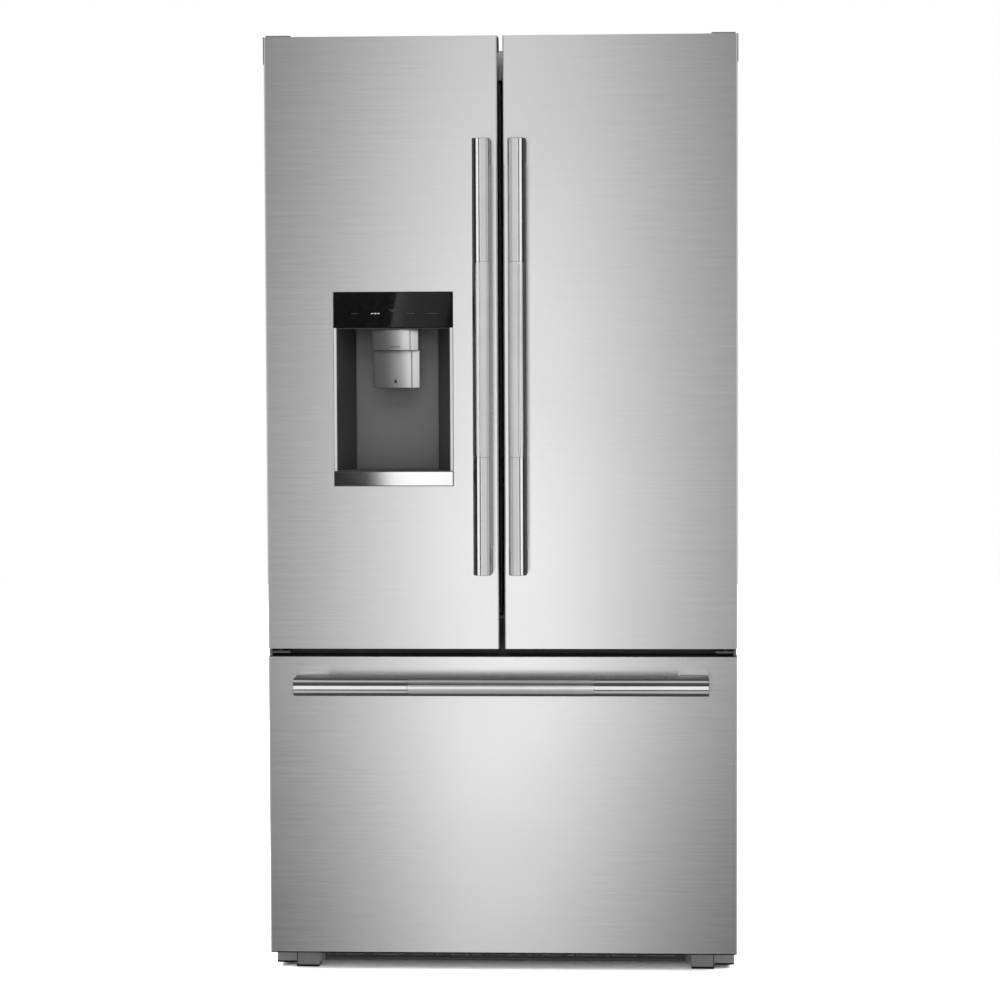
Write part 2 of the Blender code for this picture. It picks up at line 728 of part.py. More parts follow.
def upright_handle(side_name, side):
    """Round bar with a post at each end, flush with the bar's ends."""
    x = side * BAR_X
    bar = cylinder(f"handle_{side_name}", (x, BAR_Y, BAR_LOW), (x, BAR_Y, BAR_HIGH), BAR_R,
                   "brushed_steel", segments=40)
    for end, low in (("low", BAR_LOW + CLEAR), ("high", BAR_HIGH - POST_LENGTH - CLEAR)):
        join(bar, box(f"post_{side_name}_{end}", (x - POST_WIDTH / 2, BAR_Y, low),
                      (x + POST_WIDTH / 2, FACE_Y - CLEAR, low + POST_LENGTH)))
    return bar


def drawer_handle():
    bar = cylinder("drawer_handle", (-DRAWER_BAR_HALF, BAR_Y, DRAWER_BAR_Z),
                   (DRAWER_BAR_HALF, BAR_Y, DRAWER_BAR_Z), BAR_R, "brushed_steel", segments=40)
    for side_name, side in SIDES:
        outer = DRAWER_BAR_HALF - CLEAR
        low_x, high_x = span(side, outer - DRAWER_POST_LENGTH, outer)
        join(bar, box(f"drawer_post_{side_name}", (low_x, BAR_Y, DRAWER_BAR_Z - POST_WIDTH / 2),
                      (high_x, FACE_Y - CLEAR, DRAWER_BAR_Z + POST_WIDTH / 2)))
    return bar


def door_bin(name, low_x, high_x, low_z, high_z, back=-0.130):
    return shell(name, (low_x, BIN_FRONT, low_z), (high_x, back, high_z), 0.0025, [(0, 0, 1)],
                 "clear_plastic")


# Dispenser

NOZZLE_LOW = 1.2115


def dispenser_housing():
    """Recess liner whose side walls lean in towards its back, with the nozzle block at its top."""
    housing = shell(
        "dispenser_housing", (RECESS_LEFT, FACE_Y + 0.0002, RECESS_BOTTOM),
        (RECESS_RIGHT, FACE_Y + RECESS_DEPTH, RECESS_TOP), 0.0018, [(0, -1, 0)], "grey_plastic",
    )
    for vert in housing.data.vertices:
        if vert.co.y > 0:
            vert.co.x += RECESS_TAPER_LEFT if vert.co.x < 0 else -RECESS_TAPER_RIGHT
    nozzle = box("nozzle_block", (-0.2506, FACE_Y + 0.006, NOZZLE_LOW),
                 (-0.1600, FACE_Y + RECESS_DEPTH - 0.0008, RECESS_TOP - 0.0009), round_all=0.0005, segments=1)
    return join(housing, nozzle)


def dispenser_panel():
    return box("dispenser_panel", (DISPENSER_LEFT, FACE_Y - 0.002, RECESS_TOP + 0.0008),
               (DISPENSER_RIGHT, FACE_Y + 0.024, DISPENSER_TOP), "black_glass", round_all=0.0012, segments=2)


def dispenser_tray():
    """Drip tray with its bright front sill."""
    return box("dispenser_tray", (DISPENSER_LEFT, FACE_Y - 0.0035, DISPENSER_BOTTOM),
               (DISPENSER_RIGHT, FACE_Y + RECESS_DEPTH, RECESS_BOTTOM - 0.0006), "bright_steel",
               round_all=0.0012, segments=2)


PADDLE_Y = FACE_Y + 0.030
PADDLE_Z = NOZZLE_LOW - 0.004


def dispenser_paddle():
    """Curved lever under the nozzle, hinged along its top edge."""
    low_z, high_z, bulge, thick = 1.139, NOZZLE_LOW - 0.001, 0.010, 0.003
    steps = 8
    front, back = [], []
    for step in range(steps + 1):
        part = step / steps
        z = low_z + (high_z - low_z) * part
        y = PADDLE_Y - bulge * math.sin(math.pi * part) - 0.0015
        front.append((y, z))
        back.append((y + thick, z))
    return outline("dispenser_paddle", "X", front + back[::-1], -0.2485, -0.1585, "grey_plastic")


def build_left_door():
    low_x, high_x = -HALF_WIDTH, -DOOR_SPLIT
    skin = door_skin("left_door_skin", low_x, high_x, DOOR_BOTTOM, DOOR_TOP)
    core = door_liner("left_door_liner", low_x, high_x, DOOR_BOTTOM, DOOR_TOP,
                      (-0.385, 0.715), (-0.056, 1.715))
    grow = 0.0005
    mouth_low = (DISPENSER_LEFT - grow, FACE_Y - 0.01, DISPENSER_BOTTOM - grow)
    mouth_high = (DISPENSER_RIGHT + grow, FACE_Y + RECESS_DEPTH + 0.0025, DISPENSER_TOP + grow)
    cut(skin, box("dispenser_mouth", mouth_low, mouth_high))
    cut(core, box("dispenser_pocket", mouth_low, mouth_high))
    hinge_bores(core, "left", -1)
    seal = gasket("left_door_gasket", (-0.430, 0.6505), (-0.0085, 1.770))
    handle = upright_handle("left", -1)
    ice = door_bin("ice_bin", -0.3495, -0.0915, 1.345, 1.675, back=-0.125)
    hang(
        pivot("left_door_pivot", (-PIN_X, PIN_Y, DOOR_BOTTOM)), skin, core, seal, handle, ice,
        dispenser_housing(), dispenser_panel(), dispenser_tray(),
    )
    hang(pivot("paddle_pivot", (-0.198, PADDLE_Y, PADDLE_Z)), dispenser_paddle())


def build_right_door():
    low_x, high_x = DOOR_SPLIT, HALF_WIDTH
    skin = door_skin("right_door_skin", low_x, high_x, DOOR_BOTTOM, DOOR_TOP)
    core = door_liner("right_door_liner", low_x, high_x, DOOR_BOTTOM, DOOR_TOP,
                      (0.056, 0.715), (0.385, 1.715))
    hinge_bores(core, "right", 1)
    seal = gasket("right_door_gasket", (0.0085, 0.6505), (0.430, 1.770))
    handle = upright_handle("right", 1)
    bins = [
        door_bin(f"right_door_bin_{name}", 0.0915, 0.3495, low, low + 0.095)
        for name, low in (("lower", 0.970), ("upper", 1.330))
    ]
    hang(pivot("right_door_pivot", (PIN_X, PIN_Y, DOOR_BOTTOM)), skin, core, seal, handle, *bins)


FLIP_X = -0.0375
FLIP_Y = -0.2160


def flipper_mullion():
    """Hinged bar behind the middle gap, carried by the left door."""
    mullion = box("flipper_mullion", (-0.040, -0.2261, 0.700), (-0.0025, -0.2065, 1.725), "painted_grey",
                  round_all=0.001, segments=1)
    hang(pivot("flipper_pivot", (FLIP_X, FLIP_Y, 0.700)), mullion)


# Freezer drawer

def slide_profile(side, near, far, half_height, wall):
    """C section open towards the middle of the cabinet, as (x, z) points."""
    points = [
        (near, half_height), (far, half_height), (far, -half_height), (near, -half_height),
        (near, -half_height + wall), (far - wall, -half_height + wall), (far - wall, half_height - wall),
        (near, half_height - wall),
    ]
    return [(side * x, SLIDE_Z + z) for x, z in points]


def slide_channel(side_name, side):
    return outline(f"slide_channel_{side_name}", "Y", slide_profile(side, 0.3790, 0.3920, 0.020, 0.0015),
                   SLIDE_FRONT, SLIDE_BACK, "galvanised")


def slide_member(side_name, side):
    member = outline(f"slide_member_{side_name}", "Y", slide_profile(side, 0.3720, 0.3895, 0.0165, 0.0015),
                     SLIDE_FRONT, SLIDE_BACK, "galvanised")
    hang(pivot(f"slide_pivot_{side_name}", (side * 0.381, SLIDE_FRONT, SLIDE_Z)), member)


def drawer_rail(side_name, side):
    low_x, high_x = span(side, 0.3650, 0.3870)
    return box(f"drawer_rail_{side_name}", (low_x, DOOR_BACK + 0.0004, SLIDE_Z - 0.0125),
               (high_x, SLIDE_BACK, SLIDE_Z + 0.0125), "galvanised")


def lower_bin():
    """Freezer bin hung by its rim on the drawer's rails."""
    low_y, high_y, rim = DOOR_BACK + 0.0015, 0.085, SLIDE_Z + 0.0130
    basket = shell("lower_bin", (-0.355, low_y, 0.122), (0.355, high_y, rim + 0.002), 0.003, [(0, 0, 1)],
                   "clear_plastic")
    flange = box("bin_rim", (-0.3712, low_y + 0.001, rim), (0.3712, high_y - 0.001, rim + 0.003))
    hole = box("bin_rim_hole", (-0.352, low_y + 0.003, rim - 0.02), (0.352, high_y - 0.003, rim + 0.02))
    return cut(join(basket, flange), hole)


def upper_basket():
    """Pull-out basket whose bottom flanges run on the slide channels."""
    low_y, high_y, base = -0.212, SLIDE_BACK, SLIDE_Z + 0.0206
    basket = shell("upper_basket", (-0.355, low_y, base + 0.0005), (0.355, high_y, 0.560), 0.003,
                   [(0, 0, 1)], "clear_plastic")
    flange = box("basket_flange", (-0.388, low_y + 0.010, base), (0.388, high_y - 0.005, base + 0.003))
    join(basket, flange)
    hang(pivot("upper_basket_pivot", (0, low_y, base)), basket)


def build_drawer():
    skin = door_skin("drawer_skin", -HALF_WIDTH, HALF_WIDTH, DRAWER_BOTTOM, DRAWER_TOP)
    inset = SKIN + CLEAR
    core = box("drawer_liner", (-HALF_WIDTH + inset, CORE_FRONT, DRAWER_BOTTOM),
               (HALF_WIDTH - inset, DOOR_BACK, DRAWER_TOP), "white_plastic", round_front=EDGE_ROUND)
    seal = gasket("drawer_gasket", (-0.430, 0.090), (0.430, 0.603))
    rails = [drawer_rail(side_name, side) for side_name, side in SIDES]
    drawer = pivot("drawer_pivot", (0, FACE_Y, DRAWER_BOTTOM))
    hang(drawer, skin, core, seal, drawer_handle(), lower_bin(), *rails)


def build_cabinet():
    cabinet_wrapper()
    cabinet_foam()
    fridge_liner()
    freezer_liner()
    divider_rail()
    rear_panel()
    compressor_cover()
    cord_gland()
    base_pan()
    compressor()
    condenser_coil()
    evaporator_coil()
    evaporator_cover()
    base_grille()
    water_filter()
    crisper_cover()
    shelf("shelf_upper_left", -0.3955, -0.004, 1.450)
    shelf("shelf_upper_right", 0.004, 0.3955, 1.450)
    for side_name, side in SIDES:
        top_hinge(side_name, side)
        hinge_cover(side_name, side)
        centre_hinge(side_name, side)
        foot(side_name, side)
        slide_channel(side_name, side)


def build_small_movers():
    centre = (FAN_X + 0.0118, FAN_Y, FAN_Z)
    hang(pivot("condenser_fan_pivot", centre), fan("condenser_fan", centre, (-1, 0, 0), FAN_R, 0.006))
    centre = (0.0, COVER_Y + 0.0124, EVAP_FAN_Z)
    hang(pivot("evaporator_fan_pivot", centre), fan("evaporator_fan", centre, (0, -1, 0), EVAP_FAN_R, 0.004))
    for side_name, side in SIDES:
        hang(pivot(f"roller_pivot_{side_name}", (side * 0.428, ROLLER_Y, ROLLER_R)), roller(side_name, side))
        hang(pivot(f"crisper_pivot_{side_name}", (side * 0.2, -0.070, FRIDGE_LOW)), crisper(side_name, side))
        slide_member(side_name, side)
    upper_basket()
    flipper_mullion()


build_cabinet()
build_left_door()
build_right_door()
build_drawer()
build_small_movers()
bpy.context.view_layer.update()
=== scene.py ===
"""Looks of the french door refrigerator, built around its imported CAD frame. Lengths are metres."""
import math

import bmesh
import bpy
from mathutils import Matrix, Vector


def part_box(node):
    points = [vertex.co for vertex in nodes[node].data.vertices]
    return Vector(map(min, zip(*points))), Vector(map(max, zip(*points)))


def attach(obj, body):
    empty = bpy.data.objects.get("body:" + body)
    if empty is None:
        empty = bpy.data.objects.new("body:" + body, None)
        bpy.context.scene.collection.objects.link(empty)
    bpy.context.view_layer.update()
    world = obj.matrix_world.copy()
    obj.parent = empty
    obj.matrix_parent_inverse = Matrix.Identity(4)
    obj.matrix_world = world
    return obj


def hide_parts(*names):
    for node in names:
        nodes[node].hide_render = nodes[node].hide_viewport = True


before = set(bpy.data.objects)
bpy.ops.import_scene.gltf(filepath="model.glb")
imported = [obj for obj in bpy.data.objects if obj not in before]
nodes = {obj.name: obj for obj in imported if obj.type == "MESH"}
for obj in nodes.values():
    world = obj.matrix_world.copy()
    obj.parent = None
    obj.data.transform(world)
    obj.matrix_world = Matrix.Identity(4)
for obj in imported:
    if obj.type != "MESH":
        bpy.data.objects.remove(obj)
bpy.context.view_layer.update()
SIDES = (("left", -1), ("right", 1))


# Node trees

def add(tree, kind, inputs=None, **settings):
    """New node; an input is either a plain value or another node's output."""
    node = tree.nodes.new(kind)
    for key, value in settings.items():
        setattr(node, key, value)
    for key, value in (inputs or {}).items():
        if isinstance(value, bpy.types.NodeSocket):
            tree.links.new(value, node.inputs[key])
        else:
            node.inputs[key].default_value = value
    return node


def mix(tree, factor, first, second):
    """Colour between two colours; each may be a plain colour or another node's output."""
    return add(tree, "ShaderNodeMix", {0: factor, 6: first, 7: second}, data_type="RGBA").outputs[2]


def map_range(tree, value, start, end, low, high):
    """A value from start to end, mapped to the range from low to high."""
    return add(tree, "ShaderNodeMapRange", {"Value": value, "From Min": start, "From Max": end,
                                            "To Min": low, "To Max": high}).outputs["Result"]


def calculate(tree, operation, *values):
    return add(tree, "ShaderNodeMath", dict(enumerate(values)), operation=operation).outputs[0]


class Finish:
    """A material with one principled shader and helpers for its procedural detail."""

    def __init__(self, name, colour, roughness, metallic=0.0, **sockets):
        self.material = bpy.data.materials.new(name)
        self.material.use_nodes = True
        self.tree = self.material.node_tree
        self.shader = self.tree.nodes["Principled BSDF"]
        self.set("Base Color", (*colour, 1.0))
        self.set("Roughness", roughness)
        self.set("Metallic", metallic)
        for key, value in sockets.items():
            self.set(key.replace("_", " "), value)

    def set(self, socket, value):
        if isinstance(value, bpy.types.NodeSocket):
            self.tree.links.new(value, self.shader.inputs[socket])
        else:
            self.shader.inputs[socket].default_value = value

    def place(self, stretch):
        coords = add(self.tree, "ShaderNodeTexCoord")
        mapping = add(self.tree, "ShaderNodeMapping", {"Vector": coords.outputs["Object"], "Scale": stretch})
        return mapping.outputs["Vector"]

    def noise(self, scale, stretch=(1, 1, 1), detail=3.0):
        """Noise from 0 to 1; scale is in features per metre."""
        texture = add(self.tree, "ShaderNodeTexNoise",
                      {"Vector": self.place(stretch), "Scale": scale, "Detail": detail})
        return self.spread(texture.outputs["Fac"], 0, 1, 0.3, 0.7)

    def cells(self, scale):
        """Distance to the nearest cell's middle, from 0 to 1."""
        texture = add(self.tree, "ShaderNodeTexVoronoi", {"Vector": self.place((1, 1, 1)), "Scale": scale})
        return self.spread(texture.outputs["Distance"], 0, 1, 0, 0.8)

    def spread(self, value, low, high, start=0, end=1):
        return map_range(self.tree, value, start, end, low, high)

    def rough(self, value, low, high):
        self.set("Roughness", self.spread(value, low, high))

    def math(self, operation, first, second):
        return calculate(self.tree, operation, first, second)

    def colours(self, factor, first, second):
        """Base colour between two colours."""
        self.set("Base Color", mix(self.tree, factor, (*first, 1.0), (*second, 1.0)))

    def shades(self, factor, colour, dark, light):
        """Base colour between a dark and a light shade of one colour."""
        self.colours(factor, tint(colour, dark), tint(colour, light))

    def bump(self, height, depth, strength):
        node = add(self.tree, "ShaderNodeBump", {"Height": height, "Distance": depth, "Strength": strength})
        self.set("Normal", node.outputs["Normal"])


def tint(colour, factor):
    return tuple(channel * factor for channel in colour)


# Finishes

def brushed_finish(name, colour, roughness, anisotropy, grain):
    """Metal with drawn-out grain lines; grain is the stretch of the noise, short across the lines."""
    finish = Finish(name, colour, roughness, 1.0, Anisotropic=anisotropy, Anisotropic_Rotation=0.25)
    tangent = add(finish.tree, "ShaderNodeTangent", direction_type="RADIAL", axis="Z")
    finish.set("Tangent", tangent.outputs["Tangent"])
    fine = finish.noise(1500, grain, 2.0)
    coarse = finish.noise(260, grain, 4.0)
    lines = finish.math("ADD", finish.math("MULTIPLY", fine, 0.6), finish.math("MULTIPLY", coarse, 0.4))
    smudge = finish.noise(3.0, detail=5.0)
    rough = finish.math("ADD", finish.spread(lines, roughness - 0.02, roughness + 0.02),
                        finish.spread(smudge, -0.008, 0.008))
    finish.set("Roughness", rough)
    finish.shades(lines, colour, 0.93, 1.05)
    finish.bump(lines, 0.00004, 0.25)
    return finish.material


def polished_finish(name, colour, roughness):
    """Smooth satin metal with faint turning marks and handling smudges."""
    finish = Finish(name, colour, roughness, 1.0)
    marks = finish.noise(700, detail=2.0)
    smudge = finish.noise(14, detail=4.0)
    finish.set("Roughness", finish.math("ADD", finish.spread(marks, roughness - 0.02, roughness + 0.02),
                                        finish.spread(smudge, -0.015, 0.02)))
    finish.shades(smudge, colour, 0.95, 1.03)
    finish.bump(marks, 0.00002, 0.2)
    return finish.material


def painted_finish(name, colour, roughness=0.42, peel=700):
    """Powder coat: fine orange peel and slight unevenness."""
    finish = Finish(name, colour, roughness)
    peel_height = finish.noise(peel, detail=2.0)
    patch = finish.noise(5, detail=4.0)
    finish.shades(patch, colour, 0.93, 1.07)
    finish.rough(patch, roughness - 0.04, roughness + 0.06)
    finish.bump(peel_height, 0.0003, 0.35)
    return finish.material


def galvanised_finish(name, colour):
    """Zinc coat with spangle."""
    finish = Finish(name, colour, 0.45, 0.85)
    spangle = finish.cells(55)
    streak = finish.noise(30, (1, 1, 0.2), 4.0)
    finish.shades(finish.math("MULTIPLY", spangle, streak), colour, 0.82, 1.08)
    finish.rough(spangle, 0.36, 0.52)
    finish.bump(finish.noise(400), 0.0002, 0.2)
    return finish.material


def plastic_finish(name, colour, roughness):
    """Moulded plastic: fine spark texture, slight tone change and rubbed patches."""
    finish = Finish(name, colour, roughness)
    spark = finish.noise(900, detail=2.0)
    patch = finish.noise(7, detail=5.0)
    finish.shades(patch, colour, 0.94, 1.05)
    finish.set("Roughness", finish.math("ADD", finish.spread(spark, roughness - 0.04, roughness + 0.04),
                                        finish.spread(patch, -0.03, 0.05)))
    finish.bump(spark, 0.00012, 0.4)
    return finish.material


def see_through_finish(name, colour, opacity, roughness):
    """Clear plastic or glass as a tinted veil with gloss, faintly scuffed."""
    fleck = 0.01
    finish = Finish(name, colour, roughness)
    scuff = finish.noise(40, detail=6.0)
    finish.rough(scuff, roughness, roughness + 0.03)
    finish.set("Alpha", finish.spread(scuff, opacity - fleck, opacity + fleck))
    finish.shades(scuff, colour, 0.97, 1.02)
    finish.bump(finish.noise(120), 0.00002, 0.1)
    return finish.material


def copper_finish():
    colour = (0.6, 0.3, 0.17)
    finish = Finish("copper", colour, 0.32, 1.0)
    tarnish = finish.noise(35, detail=5.0)
    finish.colours(tarnish, colour, (0.3, 0.17, 0.11))
    finish.rough(tarnish, 0.26, 0.5)
    finish.bump(finish.noise(500), 0.0001, 0.3)
    return finish.material


def foam_finish():
    colour = (0.78, 0.68, 0.42)
    finish = Finish("foam", colour, 0.85)
    bubbles = finish.cells(260)
    finish.colours(bubbles, tint(colour, 0.8), colour)
    finish.bump(bubbles, 0.002, 0.8)
    return finish.material


def rubber_finish():
    colour = (0.09, 0.09, 0.092)
    finish = Finish("gasket_rubber", colour, 0.6)
    dust = finish.noise(60, detail=5.0)
    finish.colours(dust, colour, tint(colour, 1.5))
    finish.rough(dust, 0.52, 0.72)
    finish.bump(finish.noise(900), 0.0001, 0.4)
    return finish.material


def glass_panel_finish():
    """Black glass with the faintest fingerprints."""
    colour = (0.006, 0.006, 0.007)
    finish = Finish("black_glass", colour, 0.06, IOR=1.52)
    prints = finish.noise(90, detail=6.0)
    finish.rough(prints, 0.04, 0.09)
    finish.colours(prints, colour, (0.011, 0.011, 0.012))
    finish.bump(finish.noise(8), 0.0001, 0.05)
    return finish.material


FINISHES = {item.name.split(".")[0]: item for item in (
    brushed_finish("brushed_steel", (0.8, 0.8, 0.8), 0.23, 0.4, (0.012, 0.012, 1.0)),
    polished_finish("bright_steel", (0.86, 0.86, 0.86), 0.16),
    painted_finish("painted_grey", (0.2, 0.2, 0.205)),
    galvanised_finish("galvanised", (0.55, 0.56, 0.57)),
    painted_finish("black_steel", (0.018, 0.018, 0.018), 0.32, 300),
    copper_finish(),
    plastic_finish("white_plastic", (0.8, 0.81, 0.81), 0.32),
    plastic_finish("foamed_liner", (0.8, 0.81, 0.81), 0.32),
    see_through_finish("clear_plastic", (0.8, 0.86, 0.89), 0.3, 0.1),
    plastic_finish("dark_plastic", (0.028, 0.028, 0.029), 0.45),
    plastic_finish("grey_plastic", (0.16, 0.16, 0.16), 0.4),
    glass_panel_finish(),
    see_through_finish("shelf_glass", (0.66, 0.8, 0.76), 0.34, 0.04),
    rubber_finish(),
    foam_finish(),
    polished_finish("bar_steel", (0.84, 0.84, 0.84), 0.12),
    polished_finish("grip_steel", (0.86, 0.86, 0.86), 0.2),
    plastic_finish("recess_dark", (0.045, 0.045, 0.046), 0.34),
    plastic_finish("recess_grey", (0.185, 0.185, 0.187), 0.38),
    polished_finish("satin_grey", (0.62, 0.62, 0.63), 0.36),
    polished_finish("trim_steel", (0.9, 0.9, 0.9), 0.15),
    plastic_finish("mark_faint", (0.1, 0.1, 0.1), 0.5),
    plastic_finish("mark_bright", (0.95, 0.95, 0.95), 0.5),
    plastic_finish("foot_grey", (0.38, 0.38, 0.38), 0.45),
    plastic_finish("grille_grey", (0.085, 0.085, 0.086), 0.45),
    # Near-black for the drawer's lower seal, and for the painted contact shadow under the feet and brackets.
    plastic_finish("seal_and_shadow_black", (0.006, 0.006, 0.006), 0.7),
    plastic_finish("light_cover", (0.92, 0.93, 0.93), 0.25),
)}


# Camera, light and floor

YAW, PITCH, ROLL = -0.05008, 0.05422, -0.00396
EYE = Vector((0.29808, -6.31425, 1.249))
LENS, SENSOR = 112.53, 36


def place_camera():
    forward = Vector((math.sin(YAW) * math.cos(PITCH), math.cos(YAW) * math.cos(PITCH), -math.sin(PITCH)))
    level = Vector((math.cos(YAW), -math.sin(YAW), 0))
    upward = level.cross(forward)
    right = level * math.cos(ROLL) + upward * math.sin(ROLL)
    up = upward * math.cos(ROLL) - level * math.sin(ROLL)
    data = bpy.data.cameras.new("camera")
    data.lens, data.sensor_width = LENS, SENSOR
    camera = bpy.data.objects.new("camera", data)
    turn = Matrix((right, up, -forward)).transposed().to_4x4()
    camera.matrix_world = Matrix.Translation(EYE) @ turn
    bpy.context.scene.collection.objects.link(camera)
    bpy.context.scene.camera = camera


PINCH_MIDDLE = 0.49


def lamp(name, place, aim, size, radiance, receivers=(), diffuse=False, glossy=True, across=(), up=(),
         echo=1.0, roll=0.0, pinch=(0.0, 0.0)):
    """Soft box. across and up are (place from 0 to 1, brightness) steps over its width and height, and
    echo is how much of it is left where it is seen in a reflection of a reflection. Below the height
    pinch[1] the steps across close in on the middle, pinch[0] times as much for each unit of height."""
    data = bpy.data.lights.new(name, "AREA")
    data.shape = "RECTANGLE"
    data.size, data.size_y = size
    data.energy = radiance * math.pi * size[0] * size[1]
    item = bpy.data.objects.new(name, data)
    bpy.context.scene.collection.objects.link(item)
    item.location = place
    turn = (Vector(aim) - Vector(place)).to_track_quat("-Z", "Y").to_matrix()
    item.rotation_euler = (turn @ Matrix.Rotation(math.radians(roll), 3, "Z")).to_euler()
    item.visible_camera = False
    item.visible_diffuse = diffuse
    item.visible_glossy = glossy
    if receivers:
        group = bpy.data.collections.new(name)
        for receiver in receivers:
            group.objects.link(receiver)
        item.light_linking.receiver_collection = group
    if across or up or echo < 1.0:
        data.use_nodes = True
        tree = data.node_tree
        emission = next(n for n in tree.nodes if n.type == "EMISSION")
        geometry = add(tree, "ShaderNodeNewGeometry")
        parts = add(tree, "ShaderNodeSeparateXYZ", {0: geometry.outputs["Parametric"]})
        path = add(tree, "ShaderNodeLightPath")
        strength = map_range(tree, path.outputs["Ray Depth"], 2.0, 3.0, 1.0, echo)
        narrow = map_range(tree, parts.outputs["Y"], 0.0, max(pinch[1], 1e-3), 1.0 + pinch[0] * pinch[1], 1.0)
        off_middle = calculate(tree, "SUBTRACT", parts.outputs["X"], PINCH_MIDDLE)
        wide = calculate(tree, "MULTIPLY_ADD", off_middle, narrow, PINCH_MIDDLE)
        for steps, place_along in ((across, wide), (up, parts.outputs["Y"])):
            if steps:
                ramp = add(tree, "ShaderNodeValToRGB", {0: place_along})
                fill_ramp(ramp.color_ramp, steps)
                strength = calculate(tree, "MULTIPLY", ramp.outputs["Color"], strength)
        tree.links.new(strength, emission.inputs["Strength"])


PANEL_Y = -6.0


def panel(name, x, z, size, radiance, receivers, **settings):
    """Lamp that stands upright before the doors and faces them."""
    lamp(name, (x, PANEL_Y, z), (x, 0, z), size, radiance, receivers, **settings)


def card(name, centre, turn, lift, spread, radiance, receivers, distance=3.0, **settings):
    """Lamp seen from centre at a turn and lift in degrees (0, 0 is straight ahead of the doors) and
    an angular width and height in degrees."""
    turn, lift = math.radians(turn), math.radians(lift)
    direction = Vector((math.sin(turn) * math.cos(lift), -math.cos(turn) * math.cos(lift), math.sin(lift)))
    size = [2 * distance * math.tan(math.radians(angle) / 2) for angle in spread]
    lamp(name, Vector(centre) + direction * distance, centre, size, radiance, receivers, **settings)


def fill_ramp(ramp, steps):
    while len(ramp.elements) < len(steps):
        ramp.elements.new(0.5)
    for element, (place, value) in zip(ramp.elements, steps):
        element.position = place
        element.color = (value, value, value, 1.0)


def light_world():
    """White for the camera, even grey for diffuse light, and a dim studio for reflections."""
    world = bpy.data.worlds.new("studio")
    bpy.context.scene.world = world
    world.use_nodes = True
    world.cycles.sampling_method = "NONE"
    tree = world.node_tree
    background = tree.nodes["Background"]
    coords = add(tree, "ShaderNodeTexCoord")
    parts = add(tree, "ShaderNodeSeparateXYZ", {0: coords.outputs["Generated"]})
    ramp = add(tree, "ShaderNodeValToRGB", {0: map_range(tree, parts.outputs["Z"], -1.0, 1.0, 0.0, 1.0)})
    fill_ramp(ramp.color_ramp, ((0.0, 0.08), (0.45, 0.02), (0.6, 0.02), (1.0, 0.12)))
    path = add(tree, "ShaderNodeLightPath")
    diffuse = mix(tree, path.outputs["Is Diffuse Ray"], ramp.outputs["Color"], (0.55, 0.55, 0.55, 1))
    seen = mix(tree, path.outputs["Is Camera Ray"], diffuse, (1, 1, 1, 1))
    tree.links.new(seen, background.inputs["Color"])


def lay_floor():
    mesh = bpy.data.meshes.new("floor")
    reach = 9.0
    mesh.from_pydata([(-reach, -reach, 0), (reach, -reach, 0), (reach, reach, 0), (-reach, reach, 0)],
                     [], [(0, 1, 2, 3)])
    floor = bpy.data.objects.new("floor", mesh)
    bpy.context.scene.collection.objects.link(floor)
    finish = Finish("floor", (0.9, 0.9, 0.9), 0.8)
    finish.colours(finish.noise(2), (0.89, 0.89, 0.89), (0.91, 0.91, 0.91))
    mesh.materials.append(finish.material)
    floor.visible_glossy = False
    floor.visible_diffuse = False
    return floor


# Mesh building

def bevel(part, edges, width, segments):
    bmesh.ops.bevel(part, geom=edges, offset=width, segments=segments, profile=0.5, affect="EDGES",
                    clamp_overlap=True)


